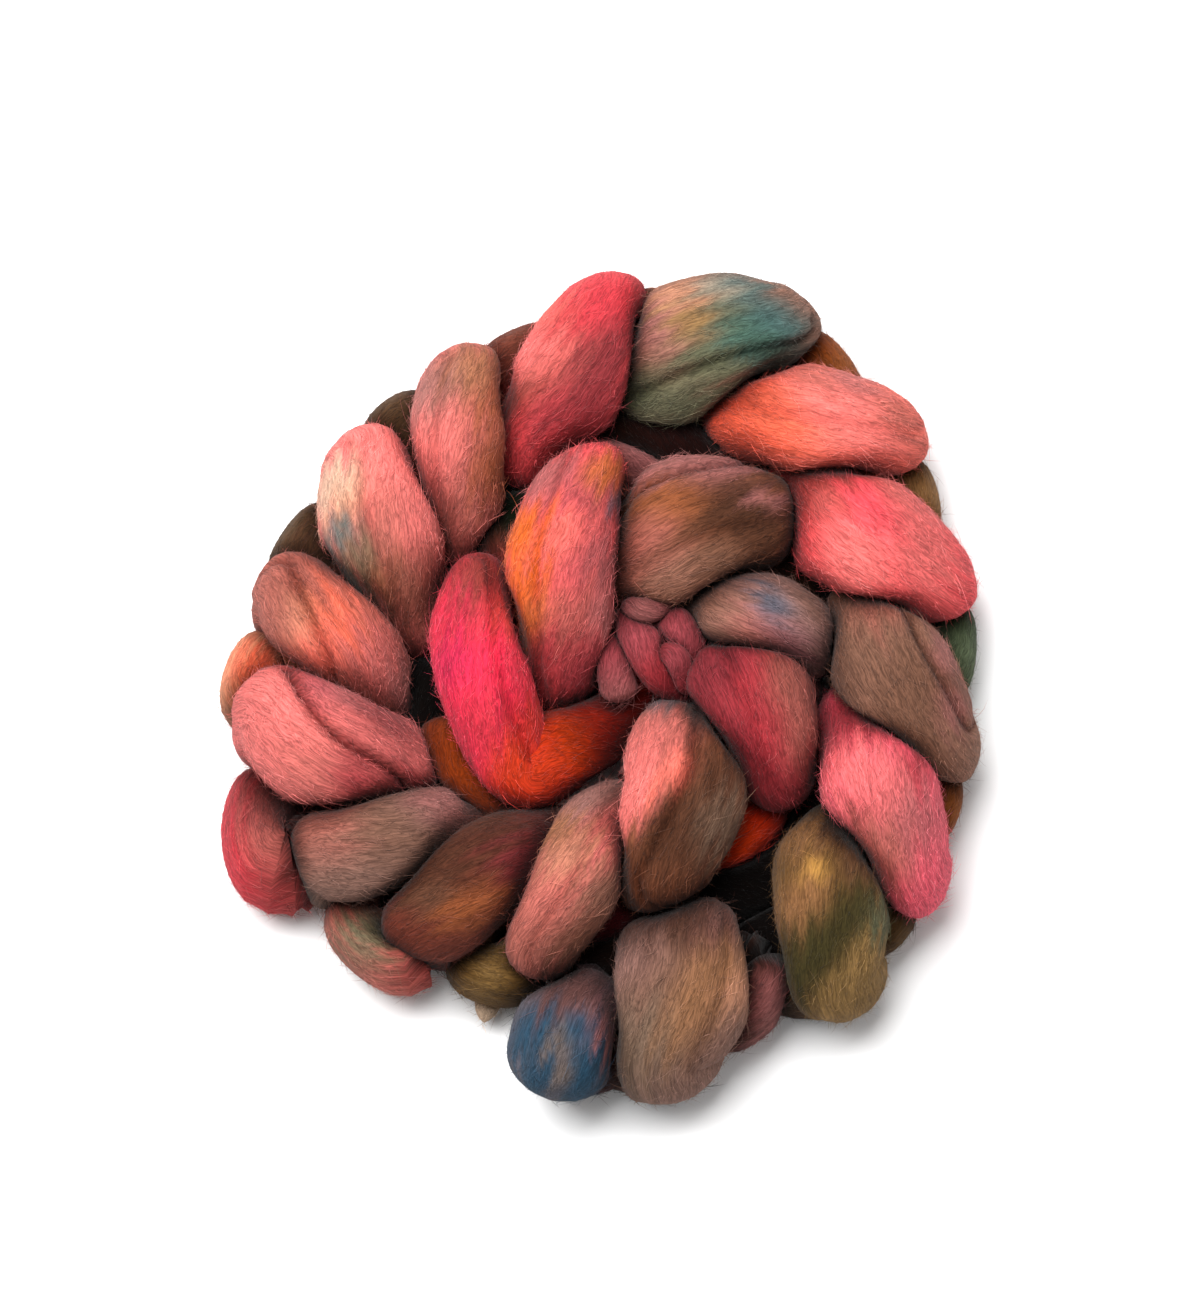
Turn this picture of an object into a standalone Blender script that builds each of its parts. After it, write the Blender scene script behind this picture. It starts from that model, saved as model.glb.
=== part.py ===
"""Hand-dyed wool roving: one thick combed strand, plaited into a chain and coiled flat like a nest.

The chain is worked like a crochet chain. Each stitch is a loop of the strand: its upper leg is the fat
lobe that shows from above, its head wraps the foot of the next stitch, and its lower leg shows as a
crescent on the outer side of the coil. Metres, +Z up, standing on z = 0.
"""

import math
from collections import namedtuple

import bmesh
import bpy
import numpy as np
from mathutils import Vector

MM = 0.001

# Driving dimensions of the coil, in millimetres.
LOBE_FLATNESS = 0.78  # a lobe's height over its width
SIDE_FLATNESS = 0.80  # a crescent's depth over its width
START_SHARE = 0.88  # the strand's width where a lobe starts, over the lobe's width
END_SHARE = 0.82  # and where it ends
HIDDEN_SHARE = 0.60  # and along the squeezed stretches between lobes
START_DROP = 6.0  # how far the strand's middle lies under the crown's where a lobe starts
END_DROP = 12.0  # and where it ends, under the next lobe
FOOT_Z = 14.0  # the strand's middle where it rises into a lobe
DIVE_Z = 14.0  # the strand's middle where it turns under the next lobe
HEAD_Z = 14.0  # the strand's middle under the next lobe
SIDE_Z = 18.0  # the strand's middle on the coil's outer side
BACK_SHARE = 0.80  # the strand's width behind a crescent, over the crescent's
BUMP_SHARE = 0.85  # the width of the underside's turns, over the lobe's width
BUMP_INWARD = 7.0  # how far they lie to the inner side of the coil
CORE_Z = 19.0  # the packed middle of the chain
CORE_WIDTH = 32.0
CORE_FLATNESS = 0.85
END_LENGTH = 12.0  # the length over which a loose end rounds off
COIL_MIDDLE_X = 1.3  # the middle of the coil's outline, in the plan of the table below
COIL_MIDDLE_Y = 1.2
PRESSED = 1.2  # how much of each turn on the underside is pressed flat by the surface below

# Fineness of the solid.
RING_STEP = 3.0  # along the strand
RING_POINTS = 24  # around the strand
FUSE_VOXEL = 1.8
SMOOTH_FACTOR = 0.5
SMOOTH_ROUNDS = 1
SOLID_TRIANGLES = 11000

WOOL_COLOUR = (0.40, 0.16, 0.14, 1.0)
WOOL_ROUGHNESS = 0.92

# One row for each stitch, from the loose outer end to the centre, in millimetres and degrees. x, y is
# the middle of the lobe in plan, heading is the way the strand runs over it, length and width are the
# lobe's, top is the height of its crown, and bow is how far the crown bulges to the left of the heading.
# side_x, side_y and side_width place the crescent on the outer side, by the next lobe's start.
Stitch = namedtuple("Stitch", "x y heading length width top bow side_x side_y side_width")

STITCHES = (
    Stitch(-7.5, -104, 75, 37, 33, 40, 0, 16, -94, 22),
    Stitch(22, -88, 84, 38, 40, 46, -3, 46, -88, 27),
    Stitch(67, -64, 93, 42, 32, 47, 0, 88, -52, 24),
    Stitch(81, -31, 110, 49, 33, 48, 0, 98, -21, 20),
    Stitch(87, 4, 120, 44, 35, 49, 2, 102, 24, 18),
    Stitch(79, 45, 144, 49, 35, 50, 3, 88, 68, 18),
    Stitch(61, 80, 172, 46, 31, 50, 2, 56, 105, 22),
    Stitch(29, 99, 202, 44, 41, 50, 0, 12, 114, 20),
    Stitch(-9, 91, 242, 49, 33, 50, 2, -28, 96, 20),
    Stitch(-36, 69.5, 270, 47, 31, 48, -2, -60, 72, 24),
    Stitch(-59.5, 43, 285, 46, 36, 48, -2, -84, 33, 27),
    Stitch(-74, 14, 310, 40, 35, 46, 0, -96, -5, 27),
    Stitch(-73, -18, 334, 40, 40, 50, -4, -90, -51, 34),
    Stitch(-60, -44, 16, 40, 34, 44, -3, -57, -76, 29),
    Stitch(-33, -58, 39, 47, 32, 46, -1, -18, -81, 26),
    Stitch(-7, -57, 66, 46, 29, 50, -2, 15, -58, 20),
    Stitch(22, -34, 84, 46, 37, 54, -3, 49, -31, 26),
    Stitch(42, -9, 114, 41, 38, 52, 0, 59, 4, 20),
    Stitch(45, 21, 160, 32, 32, 50, 2, 56, 40, 18),
    Stitch(27, 42.5, 207, 41, 45, 54, 0, -2, 67, 28),
    Stitch(-6, 32, 264, 54, 33, 56, -3, -31, 46, 20),
    Stitch(-29, 0, 285, 58, 30, 50, -4, -42, -23, 22),
)

# A station of a plain stretch of the strand: the middle of the strand and its width, in millimetres.
Station = namedtuple("Station", "x y z width")

# The strand's inner end: it turns back inside the nest, dips under the chain and ends in a thin twist.
INNER_END = (
    Station(-14, -22, 26, 28),
    Station(-2, -14, 22, 24),
    Station(11, -5, 18, 20),
    Station(21, 6, 15, 18),
    Station(28, 16, 22, 14),
    Station(18, 9, 29, 13),
    Station(9, 14, 30, 14),
    Station(4, 16, 31, 12),
    Station(3, 2, 27, 12),
)

# Deeper turns of the strand that close the gaps between the coil's turns.
UNDER_TURNS = (
    (
        Station(-54, 14, 10, 24),
        Station(-50, -4, 12, 26),
        Station(-42, -22, 15, 26),
        Station(-26, -34, 14, 24),
    ),
    (
        Station(-20, 8, 9, 22),
        Station(-14, -12, 9, 24),
        Station(2, -6, 9, 24),
        Station(12, 14, 9, 24),
    ),
    (
        Station(-14, 74, 13, 24),
        Station(6, 80, 16, 26),
        Station(24, 74, 17, 26),
        Station(42, 62, 13, 24),
    ),
    (
        Station(34, -64, 9, 24),
        Station(50, -54, 9, 24),
        Station(64, -36, 10, 22),
        Station(68, -10, 12, 22),
    ),
    (Station(68, 6, 12, 20), Station(68, 28, 12, 20), Station(60, 48, 12, 20)),
    (Station(-12, -86, 12, 22), Station(6, -76, 13, 22), Station(24, -70, 12, 22)),
)


def unit(vector):
    """The vector at length one."""
    return vector / np.linalg.norm(vector)


def plan_direction(degrees):
    """A level unit vector at this angle from +X."""
    return np.array([math.cos(math.radians(degrees)), math.sin(math.radians(degrees)), 0.0])


def chain_direction(index):
    """The way the chain itself runs at a stitch, through its neighbours' lobes."""
    before = STITCHES[max(index - 1, 0)]
    after = STITCHES[min(index + 1, len(STITCHES) - 1)]
    return unit(np.array([after.x - before.x, after.y - before.y, 0.0], float))


def stitch_stations(index):
    """The strand's stations through one stitch: rows of x, y, z, half-width, flatness, outward vector."""
    row = STITCHES[index]
    ahead = plan_direction(row.heading)
    left = np.array([-ahead[1], ahead[0], 0.0])
    chain = chain_direction(index)
    inward = np.array([-chain[1], chain[0], 0.0])
    up = np.array([0.0, 0.0, 1.0])
    middle = np.array([row.x, row.y, 0.0])
    start = middle - ahead * row.length / 2
    end = middle + ahead * row.length / 2
    half = row.width / 2
    crown_z = row.top - half * LOBE_FLATNESS
    side = np.array([row.side_x, row.side_y, 0.0])
    side_half = row.side_width / 2
    squeezed = half * HIDDEN_SHARE
    bump = half * BUMP_SHARE
    foot = start + ahead
    rise = start + ahead * row.length * 0.05
    crown = middle + left * row.bow
    fall = end - ahead * row.length * 0.08
    dive = end + ahead * 3
    head = (end + side) / 2
    back = (start + side) / 2 - inward * 2
    under = middle + inward * BUMP_INWARD
    places = (
        (foot, FOOT_Z, squeezed, LOBE_FLATNESS, -inward),
        (rise, crown_z - START_DROP, half * START_SHARE, LOBE_FLATNESS, up - inward),
        (crown, crown_z, half, LOBE_FLATNESS, up),
        (fall, crown_z - END_DROP, half * END_SHARE, LOBE_FLATNESS, up + 0.6 * inward),
        (dive, DIVE_Z, squeezed, LOBE_FLATNESS, inward + 0.3 * up),
        (head, HEAD_Z, squeezed, LOBE_FLATNESS, chain + 0.4 * up),
        (side, SIDE_Z, side_half, SIDE_FLATNESS, -inward + 0.2 * up),
        (back, FOOT_Z, side_half * BACK_SHARE, SIDE_FLATNESS, -inward - 0.3 * up),
        (under, bump * LOBE_FLATNESS - PRESSED, bump, LOBE_FLATNESS, -up),
    )
    return [(*place[:2], z, width, flat, unit(out)) for place, z, width, flat, out in places]


def strand_stations():
    """Every station of the strand, from the loose end to the inner end."""
    stations = []
    for index in range(len(STITCHES)):
        stitch = stitch_stations(index)
        if index == 0:
            stitch = stitch[1:]
        if index == len(STITCHES) - 1:
            stitch = stitch[:4]
        stations += stitch
    up = np.array([0.0, 0.0, 1.0])
    stations += [(end.x, end.y, end.z, end.width / 2, LOBE_FLATNESS, up) for end in INNER_END]
    return stations


def smooth_rows(points, step):
    """Rows read off a smooth curve through the given rows, whose first columns are x, y and z."""
    points = np.asarray(points, float)
    padded = np.vstack([2 * points[0] - points[1], points, 2 * points[-1] - points[-2]])
    rows = []
    for before, first, second, after in zip(padded, padded[1:], padded[2:], padded[3:]):
        count = max(1, round(float(np.linalg.norm((second - first)[:3])) / step))
        t = (np.arange(count) / count)[:, None]
        rows.append(
            first
            + 0.5 * t * (second - before)
            + t**2 * (before - 2.5 * first + 2 * second - 0.5 * after)
            + t**3 * (1.5 * (first - second) + 0.5 * (after - before))
        )
    return np.vstack(rows + [points[-1:]])


def end_taper(centres):
    """The share of a tube's width at each ring that rounds off its two ends."""
    reach = np.concatenate([[0.0], np.cumsum(np.linalg.norm(np.diff(centres, axis=0), axis=1))])
    near = np.clip(np.minimum(reach, reach[-1] - reach) / END_LENGTH, 0.0, 1.0)
    return np.clip(np.sqrt(1.0 - (1.0 - near) ** 2), 0.12, 1.0)


def add_tube(shape, centres, halves, flats, outward):
    """A closed tube with oval rings along these centres, its ends drawn to round tips."""
    ahead = np.gradient(centres, axis=0)
    ahead /= np.linalg.norm(ahead, axis=1, keepdims=True)
    across = np.cross(ahead, outward)
    across /= np.linalg.norm(across, axis=1, keepdims=True)
    depth = np.cross(across, ahead)
    rings = []
    for index, centre in enumerate(centres):
        ring = []
        for turn in range(RING_POINTS):
            angle = 2 * math.pi * turn / RING_POINTS
            offset = (
                across[index] * math.cos(angle) + depth[index] * math.sin(angle) * flats[index]
            ) * halves[index]
            ring.append(shape.verts.new((centre + offset) * MM))
        rings.append(ring)
    for ring, following in zip(rings, rings[1:]):
        for turn in range(RING_POINTS):
            other = (turn + 1) % RING_POINTS
            shape.faces.new((ring[turn], ring[other], following[other], following[turn]))
    shape.faces.new(rings[0][::-1])
    shape.faces.new(rings[-1])


def add_strand(shape):
    """The whole strand as one tube that crosses itself, with rounded ends."""
    rows = [(*s[:5], *s[5]) for s in strand_stations()]
    rows = smooth_rows(rows, RING_STEP)
    halves = rows[:, 3] * end_taper(rows[:, :3])
    add_tube(shape, rows[:, :3], halves, rows[:, 4], rows[:, 5:8])


def add_under_turns(shape):
    """The deeper turns, each a short tube with round ends."""
    for turn in UNDER_TURNS:
        rows = smooth_rows(turn, RING_STEP)
        up = np.tile([0.0, 0.0, 1.0], (len(rows), 1))
        halves = rows[:, 3] / 2 * end_taper(rows[:, :3])
        add_tube(shape, rows[:, :3], halves, np.full(len(rows), LOBE_FLATNESS), up)


def add_core(shape):
    """The packed middle of the chain, which the strand's loops close round."""
    rows = []
    for index, row in enumerate(STITCHES):
        chain = chain_direction(index)
        inward = np.array([-chain[1], chain[0], 0.0])
        centre = (np.array([row.x, row.y, 0.0]) * 2 + np.array([row.side_x, row.side_y, 0.0])) / 3
        rows.append((*(centre + inward * 2)[:2], CORE_Z, CORE_WIDTH / 2))
    rows = smooth_rows(rows, RING_STEP * 2)
    up = np.tile([0.0, 0.0, 1.0], (len(rows), 1))
    add_tube(shape, rows[:, :3], rows[:, 3], np.full(len(rows), CORE_FLATNESS), up)


def evaluated_copy(obj):
    """The object's mesh with its modifiers applied."""
    bpy.context.view_layer.update()
    return bpy.data.meshes.new_from_object(obj.evaluated_get(bpy.context.evaluated_depsgraph_get()))


def keep_largest_shell(shape):
    """Drops every closed shell but the outer one, which fills the small sealed pockets inside."""
    unseen = set(shape.verts)
    shells = []
    while unseen:
        shell = [unseen.pop()]
        for vert in shell:
            for edge in vert.link_edges:
                other = edge.other_vert(vert)
                if other in unseen:
                    unseen.discard(other)
                    shell.append(other)
        shells.append(shell)
    shells.sort(key=len)
    inner = [vert for shell in shells[:-1] for vert in shell]
    bmesh.ops.delete(shape, geom=inner, context="VERTS")


def press_flat(shape):
    """Cuts the lowest turns off level and closes the cuts."""
    cut = bmesh.ops.bisect_plane(
        shape,
        geom=shape.verts[:] + shape.edges[:] + shape.faces[:],
        dist=1e-7,
        plane_co=(0, 0, 0),
        plane_no=(0, 0, 1),
        clear_inner=True,
    )
    rim = [item for item in cut["geom_cut"] if isinstance(item, bmesh.types.BMEdge)]
    bmesh.ops.holes_fill(shape, edges=rim, sides=0)
    bmesh.ops.translate(shape, vec=Vector((-COIL_MIDDLE_X, -COIL_MIDDLE_Y, 0.0)) * MM, verts=shape.verts)


def wool_material():
    """Matte dyed wool."""
    material = bpy.data.materials.new("wool")
    material.use_nodes = True
    shader = material.node_tree.nodes["Principled BSDF"]
    shader.inputs["Base Color"].default_value = WOOL_COLOUR
    shader.inputs["Roughness"].default_value = WOOL_ROUGHNESS
    shader.inputs["Metallic"].default_value = 0.0
    material.diffuse_color = WOOL_COLOUR
    return material


def build_roving():
    """The coiled chain as one solid of its wound form."""
    mesh = bpy.data.meshes.new("roving")
    shape = bmesh.new()
    add_strand(shape)
    add_core(shape)
    add_under_turns(shape)
    shape.to_mesh(mesh)
    shape.free()
    roving = bpy.data.objects.new("roving", mesh)
    bpy.context.scene.collection.objects.link(roving)

    fuse = roving.modifiers.new("fuse", "REMESH")
    fuse.mode = "VOXEL"
    fuse.voxel_size = FUSE_VOXEL * MM
    soften = roving.modifiers.new("soften", "SMOOTH")
    soften.factor = SMOOTH_FACTOR
    soften.iterations = SMOOTH_ROUNDS
    fused = evaluated_copy(roving)
    roving.modifiers.clear()
    shape = bmesh.new()
    shape.from_mesh(fused)
    keep_largest_shell(shape)
    bmesh.ops.triangulate(shape, faces=shape.faces)
    shape.to_mesh(mesh)
    shape.free()

    thin = roving.modifiers.new("thin", "DECIMATE")
    thin.ratio = SOLID_TRIANGLES / len(mesh.polygons)
    thinned = evaluated_copy(roving)
    roving.modifiers.clear()
    shape = bmesh.new()
    shape.from_mesh(thinned)
    press_flat(shape)
    shape.to_mesh(mesh)
    shape.free()
    mesh.shade_smooth()
    mesh.materials.append(wool_material())
    return roving


def main():
    for obj in list(bpy.data.objects):
        bpy.data.objects.remove(obj, do_unlink=True)
    build_roving()


if __name__ == "__main__":
    main()
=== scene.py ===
"""Hand-dyed wool roving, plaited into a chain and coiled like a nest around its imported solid."""

import logging
import math
from dataclasses import dataclass, field
from enum import Enum
from typing import NamedTuple

import bmesh
import bpy
import numpy as np
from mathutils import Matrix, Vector


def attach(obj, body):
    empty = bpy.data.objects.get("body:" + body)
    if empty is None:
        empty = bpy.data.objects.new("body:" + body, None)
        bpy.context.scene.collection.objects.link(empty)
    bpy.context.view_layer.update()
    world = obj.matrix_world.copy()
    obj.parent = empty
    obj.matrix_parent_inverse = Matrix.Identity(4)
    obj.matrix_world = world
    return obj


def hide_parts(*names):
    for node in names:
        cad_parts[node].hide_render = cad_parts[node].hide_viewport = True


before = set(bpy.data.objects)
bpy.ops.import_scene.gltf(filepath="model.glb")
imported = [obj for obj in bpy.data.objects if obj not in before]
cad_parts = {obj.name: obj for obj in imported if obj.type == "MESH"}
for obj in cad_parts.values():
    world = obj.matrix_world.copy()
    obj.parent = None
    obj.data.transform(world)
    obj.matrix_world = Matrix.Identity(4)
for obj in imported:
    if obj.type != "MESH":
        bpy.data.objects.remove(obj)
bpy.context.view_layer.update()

MM = 0.001
UP = np.array([0.0, 0.0, 1.0])
SOLID = "roving"
BODY = "root"
SMALLEST = 1e-12
FIBRE_LEAN = 29.0

# A stitch has nine stations, its lobe ends at the fourth, and a short stretch has no phase.
STATIONS_PER_STITCH = 9
LOBE_END = 3
NO_PHASE = -1.0

# The columns of one row of the strand.
PLACE, HALF, FLAT, OUT, PHASE, DYE = slice(0, 3), 3, 4, slice(5, 8), 8, slice(9, 12)

log = logging.getLogger("roving")


class Dye(Enum):
    """The colours that the wool was dyed, as sRGB from 0 to 255."""

    DEEP_TEAL = (22, 64, 86)
    TEAL = (50, 98, 98)
    SEA_GREEN = (60, 98, 82)
    SLATE = (98, 90, 96)
    STEEL = (79, 89, 103)
    SAGE = (92, 98, 74)
    ASH = (112, 92, 76)
    FAWN = (146, 102, 84)
    DUSK = (158, 72, 78)
    COPPER = (146, 62, 20)
    MAHOGANY = (102, 47, 35)
    STONE = (128, 94, 82)
    GREY_MAUVE = (146, 106, 98)
    TAUPE = (112, 78, 62)
    UMBER = (100, 66, 48)
    BROWN = (126, 74, 50)
    RED_BROWN = (124, 62, 50)
    DARK_BROWN = (68, 41, 28)
    FIRE = (169, 46, 17)
    RUST = (144, 79, 43)
    BRONZE = (146, 100, 65)
    AMBER = (191, 103, 46)
    ORANGE = (217, 99, 33)
    FLAME = (208, 61, 18)
    # A deep red, dyed darker still as painted shade for the strand's stretch that lies between its
    # neighbours.
    SHADED_EMBER = (114, 21, 5)
    TAN = (199, 138, 106)
    CREAM = (201, 173, 147)
    GOLD = (200, 146, 72)
    KHAKI = (142, 110, 66)
    OLIVE = (96, 68, 34)
    DARK_OLIVE = (54, 50, 26)
    MAUVE = (160, 98, 95)
    PLUM = (134, 86, 92)
    PURPLE_BROWN = (98, 60, 54)
    MAROON = (112, 38, 44)
    CRIMSON = (192, 52, 62)
    WINE = (152, 50, 56)
    HOT_PINK = (238, 50, 80)
    MAGENTA = (190, 40, 75)
    ROSE = (228, 90, 106)
    DUSTY_PINK = (206, 104, 99)
    ROSEWOOD = (164, 92, 80)
    PINK = (236, 118, 112)
    SALMON = (240, 114, 98)
    CORAL = (234, 98, 68)
    RED_CORAL = (234, 84, 88)

    def linear(self) -> np.ndarray:
        """The dye as linear RGB from 0 to 1."""
        share = np.array(self.value, float) / 255.0
        return np.where(share <= 0.04045, share / 12.92, ((share + 0.055) / 1.055) ** 2.4)


class Stitch(NamedTuple):
    """One stitch of the chain, in millimetres and degrees.

    x, y is the middle of the lobe in plan, and heading the way the strand runs over it. length and
    width are the lobe's, top is its crown's height, and bow how far the crown bulges to the left.
    side_x, side_y and side_width place the crescent on the outer side, by the next lobe's start. lobe
    and side are the dyes that most of each has taken.
    """

    x: float
    y: float
    heading: float
    length: float
    width: float
    top: float
    bow: float
    side_x: float
    side_y: float
    side_width: float
    lobe: Dye
    side: Dye


class Station(NamedTuple):
    """A place along a plain stretch of the strand: its middle and its width, in millimetres."""

    x: float
    y: float
    z: float
    width: float


# A plain stretch of wool, as its places with the dye at each.
Course = tuple[tuple[Station, Dye], ...]


class Span(NamedTuple):
    """A run of a stitch, in stations, that comes in over rise and fades out over fall."""

    first: float
    rise: float
    last: float
    fall: float

    def weight(self, place: np.ndarray) -> np.ndarray:
        """How much each place belongs to the run, from 0 to 1."""
        risen = np.clip((place - self.first) / self.rise, 0, 1)
        return risen * np.clip((self.last - place) / self.fall, 0, 1)


class Manner(NamedTuple):
    """How a short stretch is laid.

    segments is the number of points in a ring, soft_end how far each end rounds off, in millimetres,
    step how far apart its rings lie, as a share of the strand's, and buried whether it lies deep.
    """

    segments: int
    soft_end: float
    step: float
    buried: bool


class Relief(NamedTuple):
    """A layer of a tube's unevenness.

    height is a share of the half-width, seed chooses the waves, pitch is the shortest's length in
    millimetres, around the fewest and the most of them round the tube, and with_fibres whether they
    follow the fibres.
    """

    height: float
    seed: int
    pitch: float
    around: tuple[int, int]
    with_fibres: bool


class Lamp(NamedTuple):
    """A square soft light: where it hangs and its side, in metres, and its power, in watts."""

    name: str
    place: tuple[float, float, float]
    side: float
    power: float


class Where(Enum):
    """The parts of a stitch that show."""

    LOBE = "lobe"
    CRESCENT = "crescent"


class Wash(NamedTuple):
    """A soft patch of another dye on a lobe or a crescent, in millimetres from its middle in plan."""

    stitch: int
    right: float
    back: float
    reach: float
    dye: Dye
    strength: float = 1.0
    where: Where = Where.LOBE


class Cleft(NamedTuple):
    """A lengthwise split in a lobe.

    It runs from one place across the lobe at its start to another at its end, each from the lobe's left
    side (-1) to its right (1). depth and width are in millimetres, and last is the station it ends at.
    """

    stitch: int
    at_start: float
    at_end: float
    depth: float
    width: float
    last: float = 3.6


class Loose(NamedTuple):
    """A sort of loose fibre: how many, their joints, lengths and lift off the wool, in millimetres.

    lift is what most tips rise by and highest the most, sway how far a fibre leans off the wool's own
    run, and curl how much it bends to a side.
    """

    name: str
    count: int
    joints: int
    shortest: float
    longest: float
    lift: float
    highest: float
    width: float
    sway: float
    curl: float


# The chain, from its loose end at the front to its last lobe.
STITCHES: tuple[Stitch, ...] = (
    Stitch(-7.5, -104, 75, 37, 33, 40, 0, 16, -94, 22, Dye.SLATE, Dye.PURPLE_BROWN),
    Stitch(22, -88, 84, 38, 40, 46, -3, 47.5, -83, 30, Dye.STONE, Dye.PURPLE_BROWN),
    Stitch(67, -64.5, 93, 42, 33, 47, 0, 88, -52, 24, Dye.OLIVE, Dye.OLIVE),
    Stitch(81, -32, 110, 49, 33, 48, 0, 98, -21, 20, Dye.ROSE, Dye.RUST),
    Stitch(86.5, 2.5, 120, 45, 35, 49, 2, 102, 24, 18, Dye.FAWN, Dye.SAGE),
    Stitch(77.5, 44.5, 144, 47, 37.5, 50, 3, 88, 68, 18, Dye.RED_CORAL, Dye.BRONZE),
    Stitch(62, 77, 172, 44, 34, 50, 2, 56, 105, 22, Dye.SALMON, Dye.RUST),
    Stitch(29, 99, 202, 44, 41, 50, 0, 12, 114, 20, Dye.FAWN, Dye.BROWN),
    Stitch(-7, 92, 242, 45, 34, 50, 2, -28, 96, 20, Dye.RED_CORAL, Dye.RED_BROWN),
    Stitch(-38, 69.5, 270, 45, 28.5, 48, -2, -60, 72, 24, Dye.DUSTY_PINK, Dye.UMBER),
    Stitch(-59.5, 43, 285, 44.5, 35.5, 48, -2, -84, 33, 27, Dye.PINK, Dye.UMBER),
    Stitch(-74, 12.5, 310, 39, 33.5, 46, 0, -96, -5, 27, Dye.ROSEWOOD, Dye.TAN),
    Stitch(-73, -18.7, 334, 41, 38.5, 50, -4, -90, -51, 34, Dye.DUSTY_PINK, Dye.CRIMSON),
    Stitch(-60, -44.5, 16, 40, 35.5, 45, -3, -53.5, -77, 30, Dye.STONE, Dye.ROSEWOOD),
    Stitch(-33, -58, 39, 47, 32, 46, -1, -18, -81, 26, Dye.MAHOGANY, Dye.OLIVE),
    Stitch(-5.5, -57, 66, 46, 27, 50, -2, 15, -58, 20, Dye.ROSEWOOD, Dye.MAROON),
    Stitch(22.8, -34, 81, 46, 36, 54, -3, 49, -31, 26, Dye.BROWN, Dye.FLAME),
    Stitch(44, -7, 114, 38, 38, 52, 0, 59, 4, 20, Dye.WINE, Dye.MAROON),
    Stitch(45, 18.8, 160, 33, 32, 50, 2, 56, 40, 18, Dye.GREY_MAUVE, Dye.DARK_BROWN),
    Stitch(27, 41.5, 207, 41, 47, 54, 0, -2, 67, 28, Dye.BROWN, Dye.MAUVE),
    Stitch(-6, 32, 264, 54, 33, 56, -3, -31, 46, 20, Dye.RED_CORAL, Dye.DARK_BROWN),
    Stitch(-27.8, 0, 285, 58, 28, 50, -4, -42, -23, 22, Dye.HOT_PINK, Dye.MAHOGANY),
)
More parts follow.
